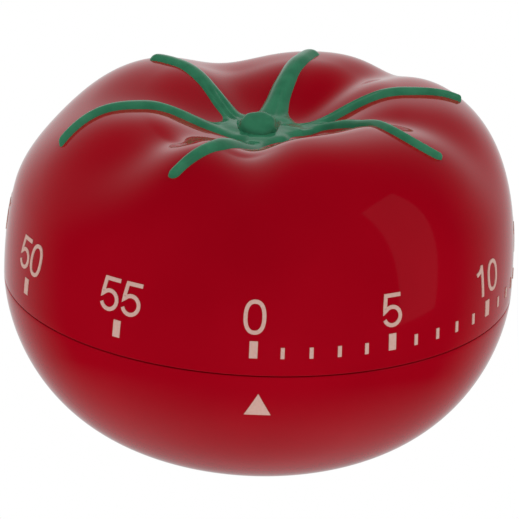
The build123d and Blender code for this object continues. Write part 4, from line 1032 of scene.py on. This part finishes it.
class TIMER_OT_studio(bpy.types.Operator):
    """Set up the white table, the soft lights and the camera"""

    bl_idname = "timer.studio"
    bl_label = "Studio"

    def execute(self, context):
        scene, studio = context.scene, context.scene.timer_studio
        reach = 3.0
        mesh = bpy.data.meshes.new("table_top")
        corners = [(x * reach, y * reach, 0) for x, y in ((-1, -1), (1, -1), (1, 1), (-1, 1))]
        mesh.from_pydata(corners, [], [(0, 1, 2, 3)])
        material, tree, shader, _ = new_material("matt_white_acrylic")
        shader.inputs["Base Color"].default_value = studio.floor_colour
        shader.inputs["Roughness"].default_value = 0.6
        shader.inputs["Emission Color"].default_value = studio.floor_colour
        shader.inputs["Emission Strength"].default_value = 0.42
        # The camera sees the table burnt out to plain white, as the photo shows it
        white = add_node(tree, "ShaderNodeEmission", {"Color": (1, 1, 1, 1), "Strength": 1.0})
        seen = add_node(tree, "ShaderNodeLightPath").outputs["Is Camera Ray"]
        mix = add_node(tree, "ShaderNodeMixShader", {"Fac": seen})
        tree.links.new(shader.outputs["BSDF"], mix.inputs[1])
        tree.links.new(white.outputs["Emission"], mix.inputs[2])
        output = next(node for node in tree.nodes if node.type == "OUTPUT_MATERIAL")
        tree.links.new(mix.outputs["Shader"], output.inputs["Surface"])
        mesh.materials.append(material)
        table = bpy.data.objects.new("table_top", mesh)
        scene.collection.objects.link(table)
        table.visible_glossy = False

        light_tent(scene)
        aim = (0, 0, 0.03)
        soft_light("right_panel", (0.76, -0.28, 0.36), aim, 0.34, 1.1, 0.10)

        data = bpy.data.cameras.new("photo_view")
        data.sensor_width, data.lens = 36.0, studio.lens
        camera = bpy.data.objects.new("photo_view", data)
        scene.collection.objects.link(camera)
        level = math.cos(studio.elevation)
        x, y = math.sin(studio.turn) * level, -math.cos(studio.turn) * level
        back = Vector((x, y, math.sin(studio.elevation)))
        aim_point = Vector((0.12 * MM, 0, studio.aim_height))
        facing = (-back).to_track_quat("-Z", "Y").to_matrix() @ Matrix.Rotation(studio.roll, 3, "Z")
        place = aim_point + back * studio.camera_distance
        camera.matrix_world = Matrix.LocRotScale(place, facing.to_quaternion(), None)
        scene.camera = camera
        scene.view_settings.view_transform = "Standard"
        return {"FINISHED"}


class TIMER_PT_panel(bpy.types.Panel):
    """Sizes, colours and steps of the kitchen timer"""

    bl_idname = "TIMER_PT_panel"
    bl_label = "Kitchen Timer"
    bl_space_type = "VIEW_3D"
    bl_region_type = "UI"
    bl_category = "Kitchen Timer"

    def draw(self, context):
        for group in GROUPS:
            settings = getattr(context.scene, group)
            box = self.layout.box()
            for name in settings.bl_rna.properties.keys():
                if name not in ("rna_type", "name"):
                    box.prop(settings, name)
        for operator in OPERATORS:
            self.layout.operator(operator.bl_idname)


GROUPS = {
    "timer_shell": ShellSizes,
    "timer_calyx": CalyxSizes,
    "timer_print": PrintSizes,
    "timer_bowl": BowlSizes,
    "timer_studio": StudioSettings,
}
OPERATORS = [
    TIMER_OT_upper_shell,
    TIMER_OT_calyx,
    TIMER_OT_numerals,
    TIMER_OT_ticks,
    TIMER_OT_lower_shell,
    TIMER_OT_pointer,
    TIMER_OT_movement,
    TIMER_OT_studio,
]


def register():
    """Makes the classes and the scene's settings known to Blender."""
    for group in GROUPS.values():
        bpy.utils.register_class(group)
    for operator in OPERATORS:
        bpy.utils.register_class(operator)
    bpy.utils.register_class(TIMER_PT_panel)
    for name, group in GROUPS.items():
        setattr(bpy.types.Scene, name, PointerProperty(type=group))


def unregister():
    """Removes what register added."""
    for name in GROUPS:
        delattr(bpy.types.Scene, name)
    bpy.utils.unregister_class(TIMER_PT_panel)
    for listed in reversed([*GROUPS.values(), *OPERATORS]):
        bpy.utils.unregister_class(listed)


def main():
    """Builds the dressed timer, in metres."""
    register()
    bpy.ops.timer.upper_shell()
    bpy.ops.timer.calyx()
    bpy.ops.timer.numerals()
    bpy.ops.timer.ticks()
    bpy.ops.timer.lower_shell()
    bpy.ops.timer.pointer()
    bpy.ops.timer.movement()
    bpy.ops.timer.studio()


if __name__ == "__main__":
    main()
